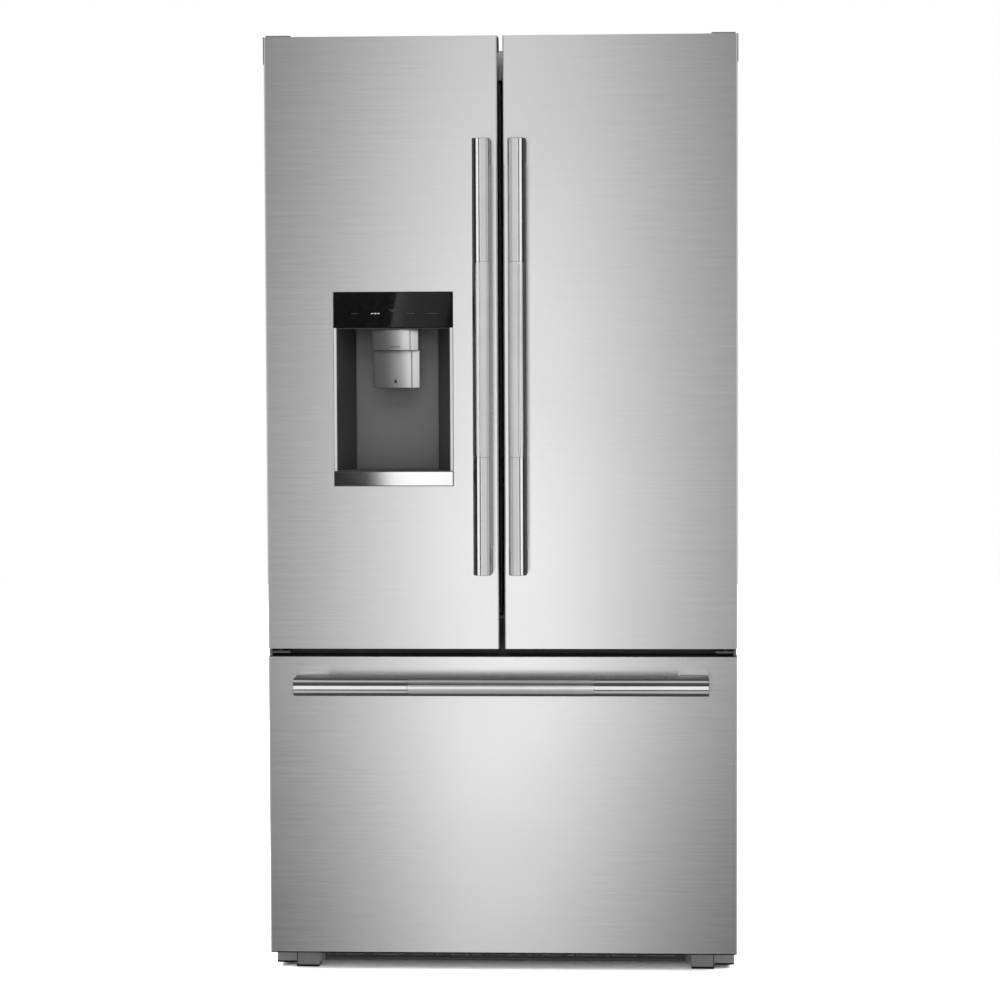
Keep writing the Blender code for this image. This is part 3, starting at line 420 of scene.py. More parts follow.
class Shape:
    """Collects solid pieces into one mesh and makes it an object that rides on a body."""

    def __init__(self):
        self.mesh = bmesh.new()

    def merge(self, part):
        data = bpy.data.meshes.new("part")
        part.to_mesh(data)
        part.free()
        self.mesh.from_mesh(data)
        bpy.data.meshes.remove(data)

    def block(self, corner, opposite, edge=0.0, segments=2):
        """Box between two opposite corners, with rounded edges."""
        low, high = (Vector([pick(pair) for pair in zip(corner, opposite)]) for pick in (min, max))
        part = bmesh.new()
        bmesh.ops.create_cube(part, size=1.0, matrix=Matrix.Diagonal((*(high - low), 1.0)))
        if edge:
            bevel(part, part.edges[:], edge, segments)
        bmesh.ops.transform(part, matrix=Matrix.Translation((high + low) / 2), verts=part.verts)
        self.merge(part)

    def strip(self, x, half, depth, height, edge=0.0, segments=2):
        """Box that reaches half to either side of x; depth and height are its ends in y and z."""
        self.block((x - half, depth[0], height[0]), (x + half, depth[1], height[1]), edge, segments)

    def lathe(self, profile, base, direction, sides=48):
        """Turned solid: profile is (radius, distance along direction) from one end to the other."""
        part = bmesh.new()
        turn = Vector((0, 0, 1)).rotation_difference(Vector(direction)).to_matrix().to_4x4()
        place = Matrix.Translation(base) @ turn
        angles = [math.tau * step / sides for step in range(sides)]
        rings = []
        for radius, reach in profile:
            if radius < 1e-6:
                rings.append([part.verts.new(place @ Vector((0, 0, reach)))] * sides)
                continue
            rings.append([part.verts.new(place @ Vector((radius * math.cos(a), radius * math.sin(a), reach)))
                          for a in angles])
        for below, above in zip(rings, rings[1:]):
            for step in range(sides):
                after = (step + 1) % sides
                corners = []
                for vert in (below[step], below[after], above[after], above[step]):
                    if vert not in corners:
                        corners.append(vert)
                if len(corners) > 2:
                    part.faces.new(corners)
        for ring in (rings[0], rings[-1]):
            if ring[0] is not ring[1]:
                part.faces.new(ring)
        bmesh.ops.recalc_face_normals(part, faces=part.faces)
        self.merge(part)

    def rod(self, start, end, radius, edge=0.0004, sides=24):
        """Round or many-sided rod with chamfered ends."""
        length = (Vector(end) - Vector(start)).length
        edge = min(edge, radius / 2, length / 3)
        profile = [(0, 0), (radius - edge, 0), (radius, edge), (radius, length - edge),
                   (radius - edge, length), (0, length)]
        self.lathe(profile, start, Vector(end) - Vector(start), sides)

    def prism(self, axis, outline, low, high, edge=0.0):
        """Outline in the plane across axis ('x', 'y' or 'z'), drawn out from low to high."""
        part = bmesh.new()
        order = {"x": lambda a, b, c: (c, a, b), "y": lambda a, b, c: (a, c, b),
                 "z": lambda a, b, c: (a, b, c)}
        ends = [[part.verts.new(order[axis](a, b, reach)) for a, b in outline] for reach in (low, high)]
        for end in ends:
            part.faces.new(end)
        for step in range(len(outline)):
            after = (step + 1) % len(outline)
            part.faces.new((ends[0][step], ends[0][after], ends[1][after], ends[1][step]))
        bmesh.ops.recalc_face_normals(part, faces=part.faces)
        if edge:
            sharp = [e for e in part.edges if e.calc_face_angle(0) > 0.5]
            bevel(part, sharp, edge, 2)
        self.merge(part)

    def screw(self, place, direction, radius, height):
        """Pan head with a round recess."""
        self.lathe([(0, height * 0.55), (radius * 0.3, height * 0.55), (radius * 0.34, height),
                    (radius * 0.55, height), (radius * 0.9, height * 0.6), (radius, 0), (0, 0)],
                   place, direction, 20)

    def done(self, name, body, slot, finish=None, replaces=(), smooth=0.7):
        """The object, riding on its body. Edges sharper than smooth, in radians, stay sharp."""
        data = bpy.data.meshes.new(name)
        bmesh.ops.recalc_face_normals(self.mesh, faces=self.mesh.faces)
        self.mesh.to_mesh(data)
        self.mesh.free()
        item = bpy.data.objects.new(name, data)
        bpy.context.scene.collection.objects.link(item)
        item.data.materials.append(FINISHES[finish or slot])
        item.data.shade_smooth()
        data.set_sharp_from_angle(angle=smooth)
        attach(item, body)
        if replaces:
            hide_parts(*replaces)


# CAD nodes that stay

def dress_nodes():
    """Each CAD node gets its slot's finish."""
    for node in nodes.values():
        slot = node.data.materials[0].name.split(".")[0]
        node.data.materials.clear()
        node.data.materials.append(FINISHES[slot])


# Handles

KNURL_PITCH, KNURL_DEPTH, KNURL_PROUD = 0.0046, 0.00013, 0.0002
BAR_CHAMFER, BAR_GROOVE = 0.0007, 0.0009
GRIP_COLLAR, COLLAR_SUNK = 0.0015, 0.0006
POST_INSET = 0.0004


def knurl(shape, place, radius, low, high):
    """Diamond knurl: alternate points of a fine grid are the tips of low pyramids."""
    part = bmesh.new()
    around = 2 * round(math.tau * radius / KNURL_PITCH)
    rows = 2 * round((high - low) / KNURL_PITCH)
    grid = []
    for row in range(rows + 1):
        reach = low + (high - low) * row / rows
        grid.append([])
        for step in range(around):
            tip = (step + row) % 2 and row not in (0, rows)
            r = radius if tip else radius - KNURL_DEPTH
            angle = math.tau * step / around
            spot = Vector((r * math.cos(angle), r * math.sin(angle), reach))
            grid[-1].append(part.verts.new(place @ spot))
    for row, (below, above) in enumerate(zip(grid, grid[1:])):
        for step in range(around):
            after = (step + 1) % around
            a, b, c, d = below[step], below[after], above[after], above[step]
            for corners in ((a, b, d), (b, c, d)) if (step + row) % 2 else ((a, b, c), (a, c, d)):
                part.faces.new(corners)
    part.faces.new(grid[0])
    part.faces.new(grid[-1])
    bmesh.ops.recalc_face_normals(part, faces=part.faces)
    shape.merge(part)


def bar_handle(node_name, body, axis, post_length, grip):
    """Round bar with a grooved, knurled middle on two square-ended posts. grip is the knurl's two ends."""
    low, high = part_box(node_name)
    along = Vector([1.0 if axis == letter else 0.0 for letter in "xyz"])
    radius = (high.x - low.x if axis == "z" else high.z - low.z) / 2
    start = Vector(((low.x + high.x) / 2, low.y + radius, (low.z + high.z) / 2))
    base = start - along * start.dot(along)
    first, last = low.dot(along), high.dot(along)
    sides = 96
    bar = Shape()
    for a, b in ((first, grip[0]), (grip[1], last)):
        near = BAR_CHAMFER if a == first else BAR_GROOVE
        far = BAR_CHAMFER if b == last else BAR_GROOVE
        bar.lathe([(0, a), (radius - near, a), (radius, a + near), (radius, b - far), (radius - far, b),
                   (0, b)], base, along, sides)
    bar.done(f"{node_name}_bar", body, "bright_steel", "bar_steel", replaces=(node_name,))
    turn = Vector((0, 0, 1)).rotation_difference(along).to_matrix().to_4x4()
    sleeve = Shape()
    knurl(sleeve, Matrix.Translation(base) @ turn, radius + KNURL_PROUD, grip[0] + GRIP_COLLAR,
          grip[1] - GRIP_COLLAR)
    sunk = radius - COLLAR_SUNK
    for a in (grip[0], grip[1] - GRIP_COLLAR):
        sleeve.lathe([(0, a), (sunk, a), (sunk, a + GRIP_COLLAR), (0, a + GRIP_COLLAR)], base, along, sides)
    sleeve.done(f"{node_name}_grip", body, "bright_steel", "grip_steel", smooth=0.02)
    posts = Shape()
    across = Vector((1, 0, 0)) if axis == "z" else Vector((0, 0, 1))
    half = radius - POST_INSET
    for a, b in ((first + POST_INSET, first + post_length), (last - post_length, last - POST_INSET)):
        corner_low = base + along * a - across * half
        corner_high = base + along * b + across * half
        corner_low.y, corner_high.y = base.y + 0.002, high.y + 0.0001
        posts.block(corner_low, corner_high, 0.0015, 3)
    posts.done(f"{node_name}_posts", body, "bright_steel", "bar_steel")


def build_handles():
    door_post, door_grip = 0.048, (1.008, 1.379)
    drawer_post, drawer_grip = 0.058, (-0.178, 0.179)
    for side_name, _ in SIDES:
        bar_handle(f"handle_{side_name}", f"{side_name}_door", "z", door_post, door_grip)
    bar_handle("drawer_handle", "freezer_drawer", "x", drawer_post, drawer_grip)


# Dispenser

FACE_PROUD = 0.0002


def bow(x, middle, half, sag):
    """How far a bowed front lies behind its middle."""
    return sag * ((x - middle) / half) ** 2


def build_recess():
    """Side walls that lean in towards the back, floor, ceiling and the rear wall with a button."""
    low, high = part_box("dispenser_housing")
    face, back, wall = low.y - FACE_PROUD, high.y, 0.0018
    lean_left, lean_right = 0.032, 0.026
    sides = Shape()
    for x, inward, lean in ((low.x, 1, lean_left), (high.x, -1, lean_right)):
        sides.prism("z", [(x, face), (x + inward * wall, face), (x + inward * lean + inward * wall, back),
                          (x + inward * lean, back)], low.z, high.z)
    floor_plan = [(low.x + wall, face + 0.0005), (high.x - wall, face + 0.0005),
                  (high.x - lean_right - wall, back - wall), (low.x + lean_left + wall, back - wall)]
    sides.prism("z", floor_plan, low.z, low.z + wall)
    sides.prism("z", floor_plan, high.z - wall, high.z)
    sides.done("dispenser_recess_sides", "left_door", "grey_plastic", "recess_dark",
               replaces=("dispenser_housing",))
    rear = Shape()
    rear.block((low.x + lean_left, back - wall, low.z + wall), (high.x - lean_right, back, high.z - wall),
               0.0004)
    middle = (low.x + lean_left + high.x - lean_right) / 2
    button_height = 1.103
    rear.lathe([(0, 0), (0.0032, 0), (0.0028, 0.0008), (0, 0.0009)], (middle, back - wall, button_height),
               (0, -1, 0), 24)
    for x in (low.x + lean_left + 0.0032, high.x - lean_right - 0.0032):
        rear.strip(x, 0.0008, (back - wall - 0.0006, back - wall), (low.z + 0.004, high.z - 0.004), 0.0003)
    rear.done("dispenser_recess_back", "left_door", "grey_plastic", "recess_grey")


def build_trims():
    """Bright strips down both sides of the recess."""
    panel_low, panel_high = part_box("dispenser_panel")
    housing_low, housing_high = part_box("dispenser_housing")
    tray_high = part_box("dispenser_tray")[1]
    face = housing_low.y - FACE_PROUD
    for name, outer, inner in (("left", panel_low.x, housing_low.x + 0.0006),
                               ("right", panel_high.x, housing_high.x - 0.0006)):
        trim = Shape()
        trim.block((outer, face - 0.0022, tray_high.z + 0.0003), (inner, face - 0.0002, panel_low.z - 0.0003),
                   0.0007, 3)
        trim.done(f"dispenser_trim_{name}", "left_door", "bright_steel", "trim_steel")


def build_nozzle():
    """Bowed two-part housing under the glass, with the water tube's mouth and two rows of plain marks."""
    low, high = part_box("dispenser_housing")
    face = low.y - FACE_PROUD
    left, right, bottom = -0.2506, -0.16, 1.2115
    middle, half = (left + right) / 2, (right - left) / 2
    front, sag = face + 0.006, 0.011
    seam, seam_half = right - 0.0155, 0.0003
    head = Shape()
    for a, b in ((left, seam - seam_half), (seam + seam_half, right)):
        spots = [a + (b - a) * step / 10 for step in range(11)]
        outline = [(x, front + bow(x, middle, half, sag)) for x in spots]
        outline += [(b, high.y - 0.003), (a, high.y - 0.003)]
        head.prism("z", outline, bottom, high.z - 0.0006, 0.0004)
    head.done("dispenser_nozzle", "left_door", "grey_plastic", "satin_grey")
    mouth = Shape()
    mouth.lathe([(0.011, 0), (0.013, 0), (0.016, 0.006), (0.016, 0.009), (0, 0.009), (0, 0.007),
                 (0.012, 0.006)], (middle, face + 0.04, bottom - 0.0085), (0, 0, 1), 40)
    mouth.lathe([(0, 0), (0.0022, 0), (0.0028, 0.012), (0, 0.012)],
                (middle + 0.024, face + 0.045, bottom - 0.012), (0, 0, 1), 24)
    mark = 0.0009
    for z in (bottom + 0.0065, bottom + 0.0395):
        for step in range(7):
            x = middle - 0.009 + step * 0.003
            y = front + bow(x, middle, half, sag)
            mouth.strip(x, mark, (y - 0.0003, y + 0.0006), (z - mark, z + mark))
    mouth.done("dispenser_mouth", "left_door", "grey_plastic", "dark_plastic")


def build_paddle():
    """Bowed two-part plate with a stiffener and a pivot rod behind it, and a drop mark."""
    low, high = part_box("dispenser_paddle")
    front, sag, thick = low.y + 0.0008, 0.0085, 0.0026
    seam, seam_half = high.x - 0.015, 0.0003
    middle, half = (low.x + high.x) / 2, (high.x - low.x) / 2
    plate = Shape()
    for a, b in ((low.x, seam - seam_half), (seam + seam_half, high.x)):
        spots = [a + (b - a) * step / 12 for step in range(13)]
        near = [(x, front + bow(x, middle, half, sag)) for x in spots]
        far = [(x, y + thick) for x, y in near]
        plate.prism("z", near + far[::-1], low.z, high.z, 0.0006)
    plate.block((low.x + 0.004, high.y - 0.0022, low.z + 0.006),
                (high.x - 0.004, high.y - 0.0008, high.z - 0.004), 0.0004)
    plate.rod((low.x + 0.003, high.y - 0.002, high.z - 0.0028),
              (high.x - 0.003, high.y - 0.002, high.z - 0.0028), 0.0022)
    plate.done("paddle_plate", "paddle", "grey_plastic", "satin_grey", replaces=("dispenser_paddle",))
    drop, drop_x, drop_z, drop_radius, drop_tip = [], middle - 0.001, low.z + 0.0115, 0.0028, 0.0036
    for step in range(24):
        angle = math.tau * step / 24
        point = max(0.0, math.sin(angle)) ** 3
        drop.append((drop_x + drop_radius * math.cos(angle) * (1 - 0.8 * point),
                     drop_z + drop_radius * math.sin(angle) + drop_tip * point))
    marks = Shape()
    marks.prism("y", drop, front - 0.0003, front + 0.0004)
    marks.done("paddle_drop_mark", "paddle", "grey_plastic", "dark_plastic")


def build_tray():
    """Bright sill, and behind it a dish under slats."""
    low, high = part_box("dispenser_tray")
    face = low.y + 0.0035
    sill_back, bed = face + 0.009, high.z - 0.0042
    sill = Shape()
    sill.block((low.x, low.y, low.z), (high.x, sill_back, high.z), 0.0016, 4)
    sill.done("dispenser_sill", "left_door", "bright_steel", "trim_steel", replaces=("dispenser_tray",))
    dish = Shape()
    housing_low, housing_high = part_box("dispenser_housing")
    left, right, dish_back = housing_low.x + 0.001, housing_high.x - 0.001, high.y - 0.001
    dish.block((left, sill_back - 0.0005, low.z + 0.001), (right, dish_back, bed), 0.0008)
    for x, inward, near, far in ((left, 1, 0.027, 0.032), (right, -1, 0.024, 0.029)):
        dish.prism("z", [(x, sill_back), (x + inward * 0.005, sill_back), (x + inward * far, dish_back),
                         (x + inward * near, dish_back)], bed - 0.001, high.z - 0.0003, 0.0005)
    dish.done("dispenser_dish", "left_door", "grey_plastic", "recess_grey")
    slats = Shape()
    rows = 8
    for row in range(rows):
        part = (row + 0.5) / rows
        y = sill_back + 0.002 + (high.y - 0.006 - sill_back) * part
        slats.block((left + 0.007 + 0.025 * part, y - 0.0014, bed - 0.0002),
                    (right - 0.007 - 0.022 * part, y + 0.0014, high.z - 0.0012), 0.0005)
    for x in (left + 0.045, (left + right) / 2, right - 0.045):
        slats.strip(x, 0.001, (sill_back + 0.002, high.y - 0.005), (bed - 0.0004, bed + 0.0012))
    slats.done("dispenser_slats", "left_door", "bright_steel", "satin_grey")


def build_panel():
    """Black glass with small plain bars for marks."""
    low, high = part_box("dispenser_panel")
    glass = Shape()
    glass.block((low.x, low.y, low.z), (high.x, low.y + 0.006, high.z), 0.0009, 3)
    glass.done("dispenser_glass", "left_door", "black_glass", replaces=("dispenser_panel",))
    back = Shape()
    back.block((low.x + 0.0008, low.y + 0.0055, low.z + 0.0008), (high.x - 0.0008, high.y, high.z - 0.0008),
               0.001)
    back.done("dispenser_panel_back", "left_door", "black_glass", "dark_plastic")
    width, level = high.x - low.x, low.z + 0.0268
    deep = (low.y - 0.00015, low.y + 0.0004)

    def mark(shape, x, z, wide, tall):
        shape.strip(x, wide / 2, deep, (z - tall / 2, z + tall / 2), 0.0002, 1)

    faint, bright = Shape(), Shape()
    for count, start, pitch, lift, wide, tall in (
            (5, 0.155, 0.0032, 0, 0.0022, 0.0011), (1, 0.495, 0, 0.0068, 0.014, 0.0011),
            (1, 0.495, 0, 0.004, 0.005, 0.0014), (3, 0.625, 0.0052, 0, 0.0034, 0.0012),
            (4, 0.795, 0.0056, 0, 0.004, 0.0012)):
        for step in range(count):
            mark(faint, low.x + width * start + step * pitch, level + lift, wide, tall)
    for wide, step in ((0.0042, 0), (0.0052, 1), (0.0042, 2)):
        mark(bright, low.x + width * 0.325 + step * 0.0061, level, wide, 0.0017)
    faint.done("panel_faint_marks", "left_door", "black_glass", "mark_faint")
    bright.done("panel_bright_marks", "left_door", "black_glass", "mark_bright")


def build_dispenser():
    for build in (build_recess, build_trims, build_nozzle, build_paddle, build_tray, build_panel):
        build()


# Doors, gaskets, grille and feet

def ring(shape, low, high, width, edge=0.0006):
    """Rectangular frame in the x-z plane, width wide, between two corners."""
    (left, front, bottom), (right, back, top) = low, high
    for x in ((left, left + width), (right - width, right)):
        shape.block((x[0], front, bottom + width), (x[1], back, top - width), edge)
    for z in ((bottom, bottom + width), (top - width, top)):
        shape.block((left, front, z[0]), (right, back, z[1]), edge)


def build_door_trim(prefix, body):
    """End caps on the folded skin, and the gasket's bellows."""
    low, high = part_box(f"{prefix}_skin")
    caps = Shape()
    for z, grow in ((high.z, 1), (low.z, -1)):
        caps.block((low.x + 0.0016, low.y + 0.0022, z - grow * 0.003),
                   (high.x - 0.0016, high.y - 0.001, z + grow * 0.0002), 0.0001, 1)
    caps.done(f"{prefix}_end_caps", body, "grey_plastic")
    low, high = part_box(f"{prefix}_gasket")
    seal = Shape()
    depth, grow, width = high.y - low.y, 0.0012, 0.0205
    for near, far in ((0.28, 0.42), (0.58, 0.72)):
        ring(seal, (low.x - grow, low.y + depth * near, low.z - grow),
             (high.x + grow, low.y + depth * far, high.z + grow), width)
    seal.done(f"{prefix}_bellows", body, "gasket_rubber")


def build_top_lips():
    """Thin steel lips at the outer top corners of the doors."""
    for side_name, side in SIDES:
        low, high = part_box(f"{side_name}_door_skin")
        outer = high.x if side > 0 else low.x
        lip = Shape()
        lip.block((outer, low.y + 0.001, high.z - 0.052), (outer + side * 0.0015, low.y + 0.03, high.z),
                  0.0006, 3)
        lip.done(f"{side_name}_door_lip", f"{side_name}_door", "bright_steel", "trim_steel")


def build_drawer_strip():
    """Dark seal under the drawer front's lower edge."""
    low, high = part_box("drawer_skin")
    seal = Shape()
    seal.block((low.x + 0.0008, low.y + 0.0008, low.z - 0.0024),
               (high.x - 0.0008, low.y + 0.014, low.z + 0.0004), 0.0005)
    seal.done("drawer_lower_seal", "freezer_drawer", "gasket_rubber", "seal_and_shadow_black")


def build_grille():
    """Three long fins and eleven uprights."""
    low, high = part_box("base_grille")
    fins = Shape()
    for row in range(3):
        z = low.z + 0.0045 + row * 0.0082
        fins.block((low.x + 0.002, low.y - 0.0026, z), (high.x - 0.002, low.y + 0.0004, z + 0.0026), 0.0008)
    for step in range(11):
        x = low.x + 0.01 + (high.x - low.x - 0.02) * step / 10
        fins.strip(x, 0.0015, (low.y - 0.002, low.y + 0.0002), (low.z + 0.002, high.z - 0.002), 0.0005)
    fins.done("grille_fins", "cabinet", "dark_plastic", "grille_grey")
    nodes["base_grille"].data.materials[0] = FINISHES["grille_grey"]


def build_feet():
    """Ribbed levelling feet on dark pads, and their brackets with a screw. The pads are partly painted
    contact shadow, and the near-black strips under the brackets and beside the ribs are painted shadow.
    """
    block_wide, bracket_low, shadow_pad, screw_height, rib_pitch = 0.0435, 0.0115, 0.004, 0.026, 0.0043
    for side_name, side in SIDES:
        low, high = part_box(f"foot_{side_name}")
        inner, outer = (low.x, high.x) if side > 0 else (high.x, low.x)
        ribs = Shape()
        for step in range(10):
            x = inner + side * (0.0022 + step * rib_pitch)
            ribs.lathe([(0, 0), (0.0013, 0), (0.0013, 0.031), (0, 0.031)], (x, low.y + 0.0002, shadow_pad),
                       (0, 0, 1), 10)
        split = inner + side * block_wide
        ribs.strip(split + side * 0.0016, 0.0016, (low.y - 0.0016, low.y + 0.002),
                   (bracket_low + 0.001, high.z - 0.001), 0.0006)
        x = (split + outer) / 2
        for proud, radius, edge, sides in ((0.0016, 0.005, 0.0008, 6), (0.001, 0.007, 0.0005, 28)):
            ribs.rod((x, low.y - proud, screw_height), (x, low.y + 0.004, screw_height), radius, edge, sides)
        ribs.done(f"foot_{side_name}_ribs", "cabinet", "grey_plastic", "foot_grey")
        nodes[f"foot_{side_name}"].data.materials[0] = FINISHES["foot_grey"]
        pad_and_shadows = Shape()
        # Dark pad under the foot block, partly painted contact shadow.
        pad_and_shadows.block((inner - side * 0.0004, low.y - 0.0022, 0.0002),
                   (split + side * 0.0004, low.y + 0.04, shadow_pad), 0.0006)
        # Painted contact shadow: a near-black strip under the bracket.
        pad_and_shadows.block((split + side * 0.0008, low.y - 0.0008, bracket_low - 0.0034),
                   (outer - side * 0.0004, low.y + 0.04, bracket_low), 0.0004)
        # Painted shade: a near-black strip beside the rib.
        pad_and_shadows.block((split - side * 0.0022, low.y - 0.0004, shadow_pad), (split, low.y + 0.01, high.z - 0.001))
        pad_and_shadows.done(f"foot_{side_name}_pad", "cabinet", "gasket_rubber", "seal_and_shadow_black")


# Inside

def build_shelves():
    """The two shelves of the frame, and two more below them."""
    for side_name, _ in SIDES:
        name = f"shelf_upper_{side_name}"
        make_shelf(name, *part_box(name), replaces=(name,))
    drop = Vector((0, 0, 0.255))
    for side_name, _ in SIDES:
        low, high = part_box(f"shelf_upper_{side_name}")
        make_shelf(f"shelf_lower_{side_name}", low - drop, high - drop)


def make_shelf(name, low, high, replaces=()):
    """Glass pane in a front trim and a rear rail, on two tapered steel arms."""
    top = high.z - 0.012
    pane = Shape()
    pane.block((low.x + 0.005, low.y + 0.006, top - 0.0055), (high.x - 0.005, high.y - 0.01, top - 0.0015),
               0.0008)
    pane.done(f"{name}_pane", "cabinet", "shelf_glass", replaces=replaces)
    trim = Shape()
    trim.block((low.x + 0.001, low.y, top - 0.0095), (high.x - 0.001, low.y + 0.0095, top + 0.0038),
               0.0028, 4)
    trim.block((low.x + 0.001, high.y - 0.016, top - 0.009), (high.x - 0.001, high.y - 0.006, top + 0.01),
               0.0022, 3)
    for x in (low.x + 0.0015, high.x - 0.0055):
        trim.block((x, low.y + 0.008, top - 0.0085), (x + 0.004, high.y - 0.014, top + 0.0006), 0.001)
    trim.done(f"{name}_trim", "cabinet", "white_plastic")
    arms = Shape()
    for x in (low.x + 0.0065, high.x - 0.0085):
        arms.prism("x", [(low.y + 0.012, top - 0.0065), (low.y + 0.012, top - 0.011),
                         (high.y - 0.004, top - 0.052), (high.y - 0.001, top - 0.052),
                         (high.y - 0.001, top - 0.0065)], x, x + 0.002, 0.0004)
    arms.done(f"{name}_arms", "cabinet", "galvanised")


def build_liner_detail():
    """Shelf ladders, air ducts, light bars and side ribs; ribs in the freezer."""
    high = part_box("fridge_liner")[1]
    back = high.y - 0.0027
    ladder_places, foot, pitch = (-0.388, -0.012, 0.012, 0.388), 0.965, 0.0245
    ladder = Shape()
    for x in ladder_places:
        ladder.strip(x, 0.0075, (back - 0.0032, back), (foot, 1.7), 0.0008)
    ladder.done("shelf_ladders", "cabinet", "galvanised")
    # Painted shade: thin dark strips on the ladder faces stand in for the shade inside their slots.
    slot_shade = Shape()
    for x in ladder_places:
        for step in range(30):
            z = foot + 0.01 + step * pitch
            slot_shade.strip(x, 0.0018, (back - 0.0034, back - 0.003), (z, z + 0.012))
    slot_shade.done("ladder_slot_shade", "cabinet", "galvanised", "dark_plastic")
    duct = Shape()
    for x in (-0.205, 0.205):
        duct.strip(x, 0.06, (back - 0.007, back), (1.5, 1.69), 0.003, 4)
        for step in range(6):
            z = 1.52 + step * 0.026
            duct.strip(x, 0.046, (back - 0.0095, back - 0.0065), (z, z + 0.007), 0.0012)
    duct.done("air_ducts", "cabinet", "white_plastic")
    light = Shape()
    for x in (-0.2, 0.2):
        light.strip(x, 0.12, (-0.02, 0.02), (high.z - 0.0065, high.z - 0.0024), 0.0018, 3)
    light.done("light_bars", "cabinet", "white_plastic", "light_cover")
    ribs = Shape()
    for side in (-1, 1):
        wall = side * (high.x - 0.0026)
        for z in (1.0, 1.16, 1.32, 1.56):
            ribs.block((wall, -0.1, z), (wall - side * 0.003, 0.28, z + 0.012), 0.0014, 3)
    ribs.done("liner_ribs", "cabinet", "white_plastic")
    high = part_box("freezer_liner")[1]
    ribs = Shape()
    for step in range(9):
        x = -0.32 + step * 0.08
        ribs.strip(x, 0.005, (high.y - 0.0052, high.y - 0.0024), (0.4, 0.56), 0.0012)
    ribs.done("freezer_ribs", "cabinet", "white_plastic")


def rimmed(node, body, bead, ribs=()):
    """Rolled rim around the open top of a bin, with upright ribs on its front."""
    low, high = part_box(node)
    rim = Shape()
    top, grow = high.z, 0.0003
    for a, b in (((low.x, low.y), (high.x, low.y + bead)), ((low.x, high.y - bead), (high.x, high.y)),
                 ((low.x, low.y), (low.x + bead, high.y)), ((high.x - bead, low.y), (high.x, high.y))):
        rim.block((a[0] - grow, a[1] - grow, top - 0.0045), (b[0] + grow, b[1] + grow, top + 0.0012),
                  0.0014, 3)
    for part in ribs:
        x = low.x + (high.x - low.x) * part
        rim.strip(x, 0.0014, (low.y - 0.0009, low.y + 0.0008), (low.z + 0.012, top - 0.006), 0.0005)
    rim.done(f"{node}_rim", body, "clear_plastic")


def build_bins():
    """Rims and pulls, a third door bin between the other two, and the ice bin's lid."""
    rib_places = (0.2, 0.4, 0.6, 0.8)
    for node, body in (("right_door_bin_lower", "right_door"), ("right_door_bin_upper", "right_door"),
                       ("upper_basket", "upper_basket"), ("lower_bin", "freezer_drawer")):
        rimmed(node, body, 0.0032, rib_places)
    for side_name, _ in SIDES:
        node = f"crisper_{side_name}"
        low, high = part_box(node)
        rimmed(node, node, 0.0036)
        pull = Shape()
        pull.strip((low.x + high.x) / 2, 0.085, (low.y - 0.006, low.y + 0.0005),
                   (high.z - 0.034, high.z - 0.02), 0.0035, 4)
        pull.block((low.x + 0.012, low.y - 0.0016, low.z + 0.016),
                   (high.x - 0.012, low.y + 0.0004, low.z + 0.022), 0.0008)
        pull.done(f"{node}_pull", node, "white_plastic")
    low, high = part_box("right_door_bin_lower")
    z = (low.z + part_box("right_door_bin_upper")[0].z) / 2
    extra = Shape()
    wall, top = 0.0025, z + high.z - low.z
    extra.block((low.x, low.y, z), (high.x, high.y, z + wall), 0.0008)
    for y in (high.y - wall, low.y):
        extra.block((low.x, y, z), (high.x, y + wall, top), 0.001)
    for x in (low.x, high.x - wall):
        extra.block((x, low.y, z), (x + wall, high.y, top), 0.001)
    extra.done("right_door_bin_middle", "right_door", "clear_plastic")
    low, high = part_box("ice_bin")
    lid = Shape()
    lid.block((low.x + 0.004, low.y + 0.004, high.z - 0.001),
              (high.x - 0.004, high.y - 0.004, high.z + 0.0035), 0.0018, 3)
    lid.strip(high.x - 0.05, 0.02, (high.y - 0.0012, high.y + 0.004), (low.z + 0.12, low.z + 0.215),
              0.003, 4)
    inset = 0.012
    ring(lid, (low.x + inset, high.y - 0.0004, low.z + inset),
         (high.x - inset, high.y + 0.0012, high.z - inset), 0.004)
    lid.done("ice_bin_lid", "left_door", "white_plastic")


def build_evaporator_vents():
    low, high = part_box("evaporator_cover")
    vents = Shape()
    for row in range(5):
        for x in (-0.27, 0.27):
            z = high.z - 0.03 - row * 0.01
            vents.strip(x, 0.07, (low.y - 0.0022, low.y + 0.0002), (z, z + 0.0045), 0.0009)
    vents.done("evaporator_vents", "cabinet", "white_plastic")


# Back and top

SCREW_SUNK = 0.0003


def screws(shape, across, y, heights):
    """Pan head screws on the back, one for each x in across and z in heights."""
    for x in across:
        for z in heights:
            shape.screw((x, y - SCREW_SUNK, z), (0, 1, 0), 0.0045, 0.0022)


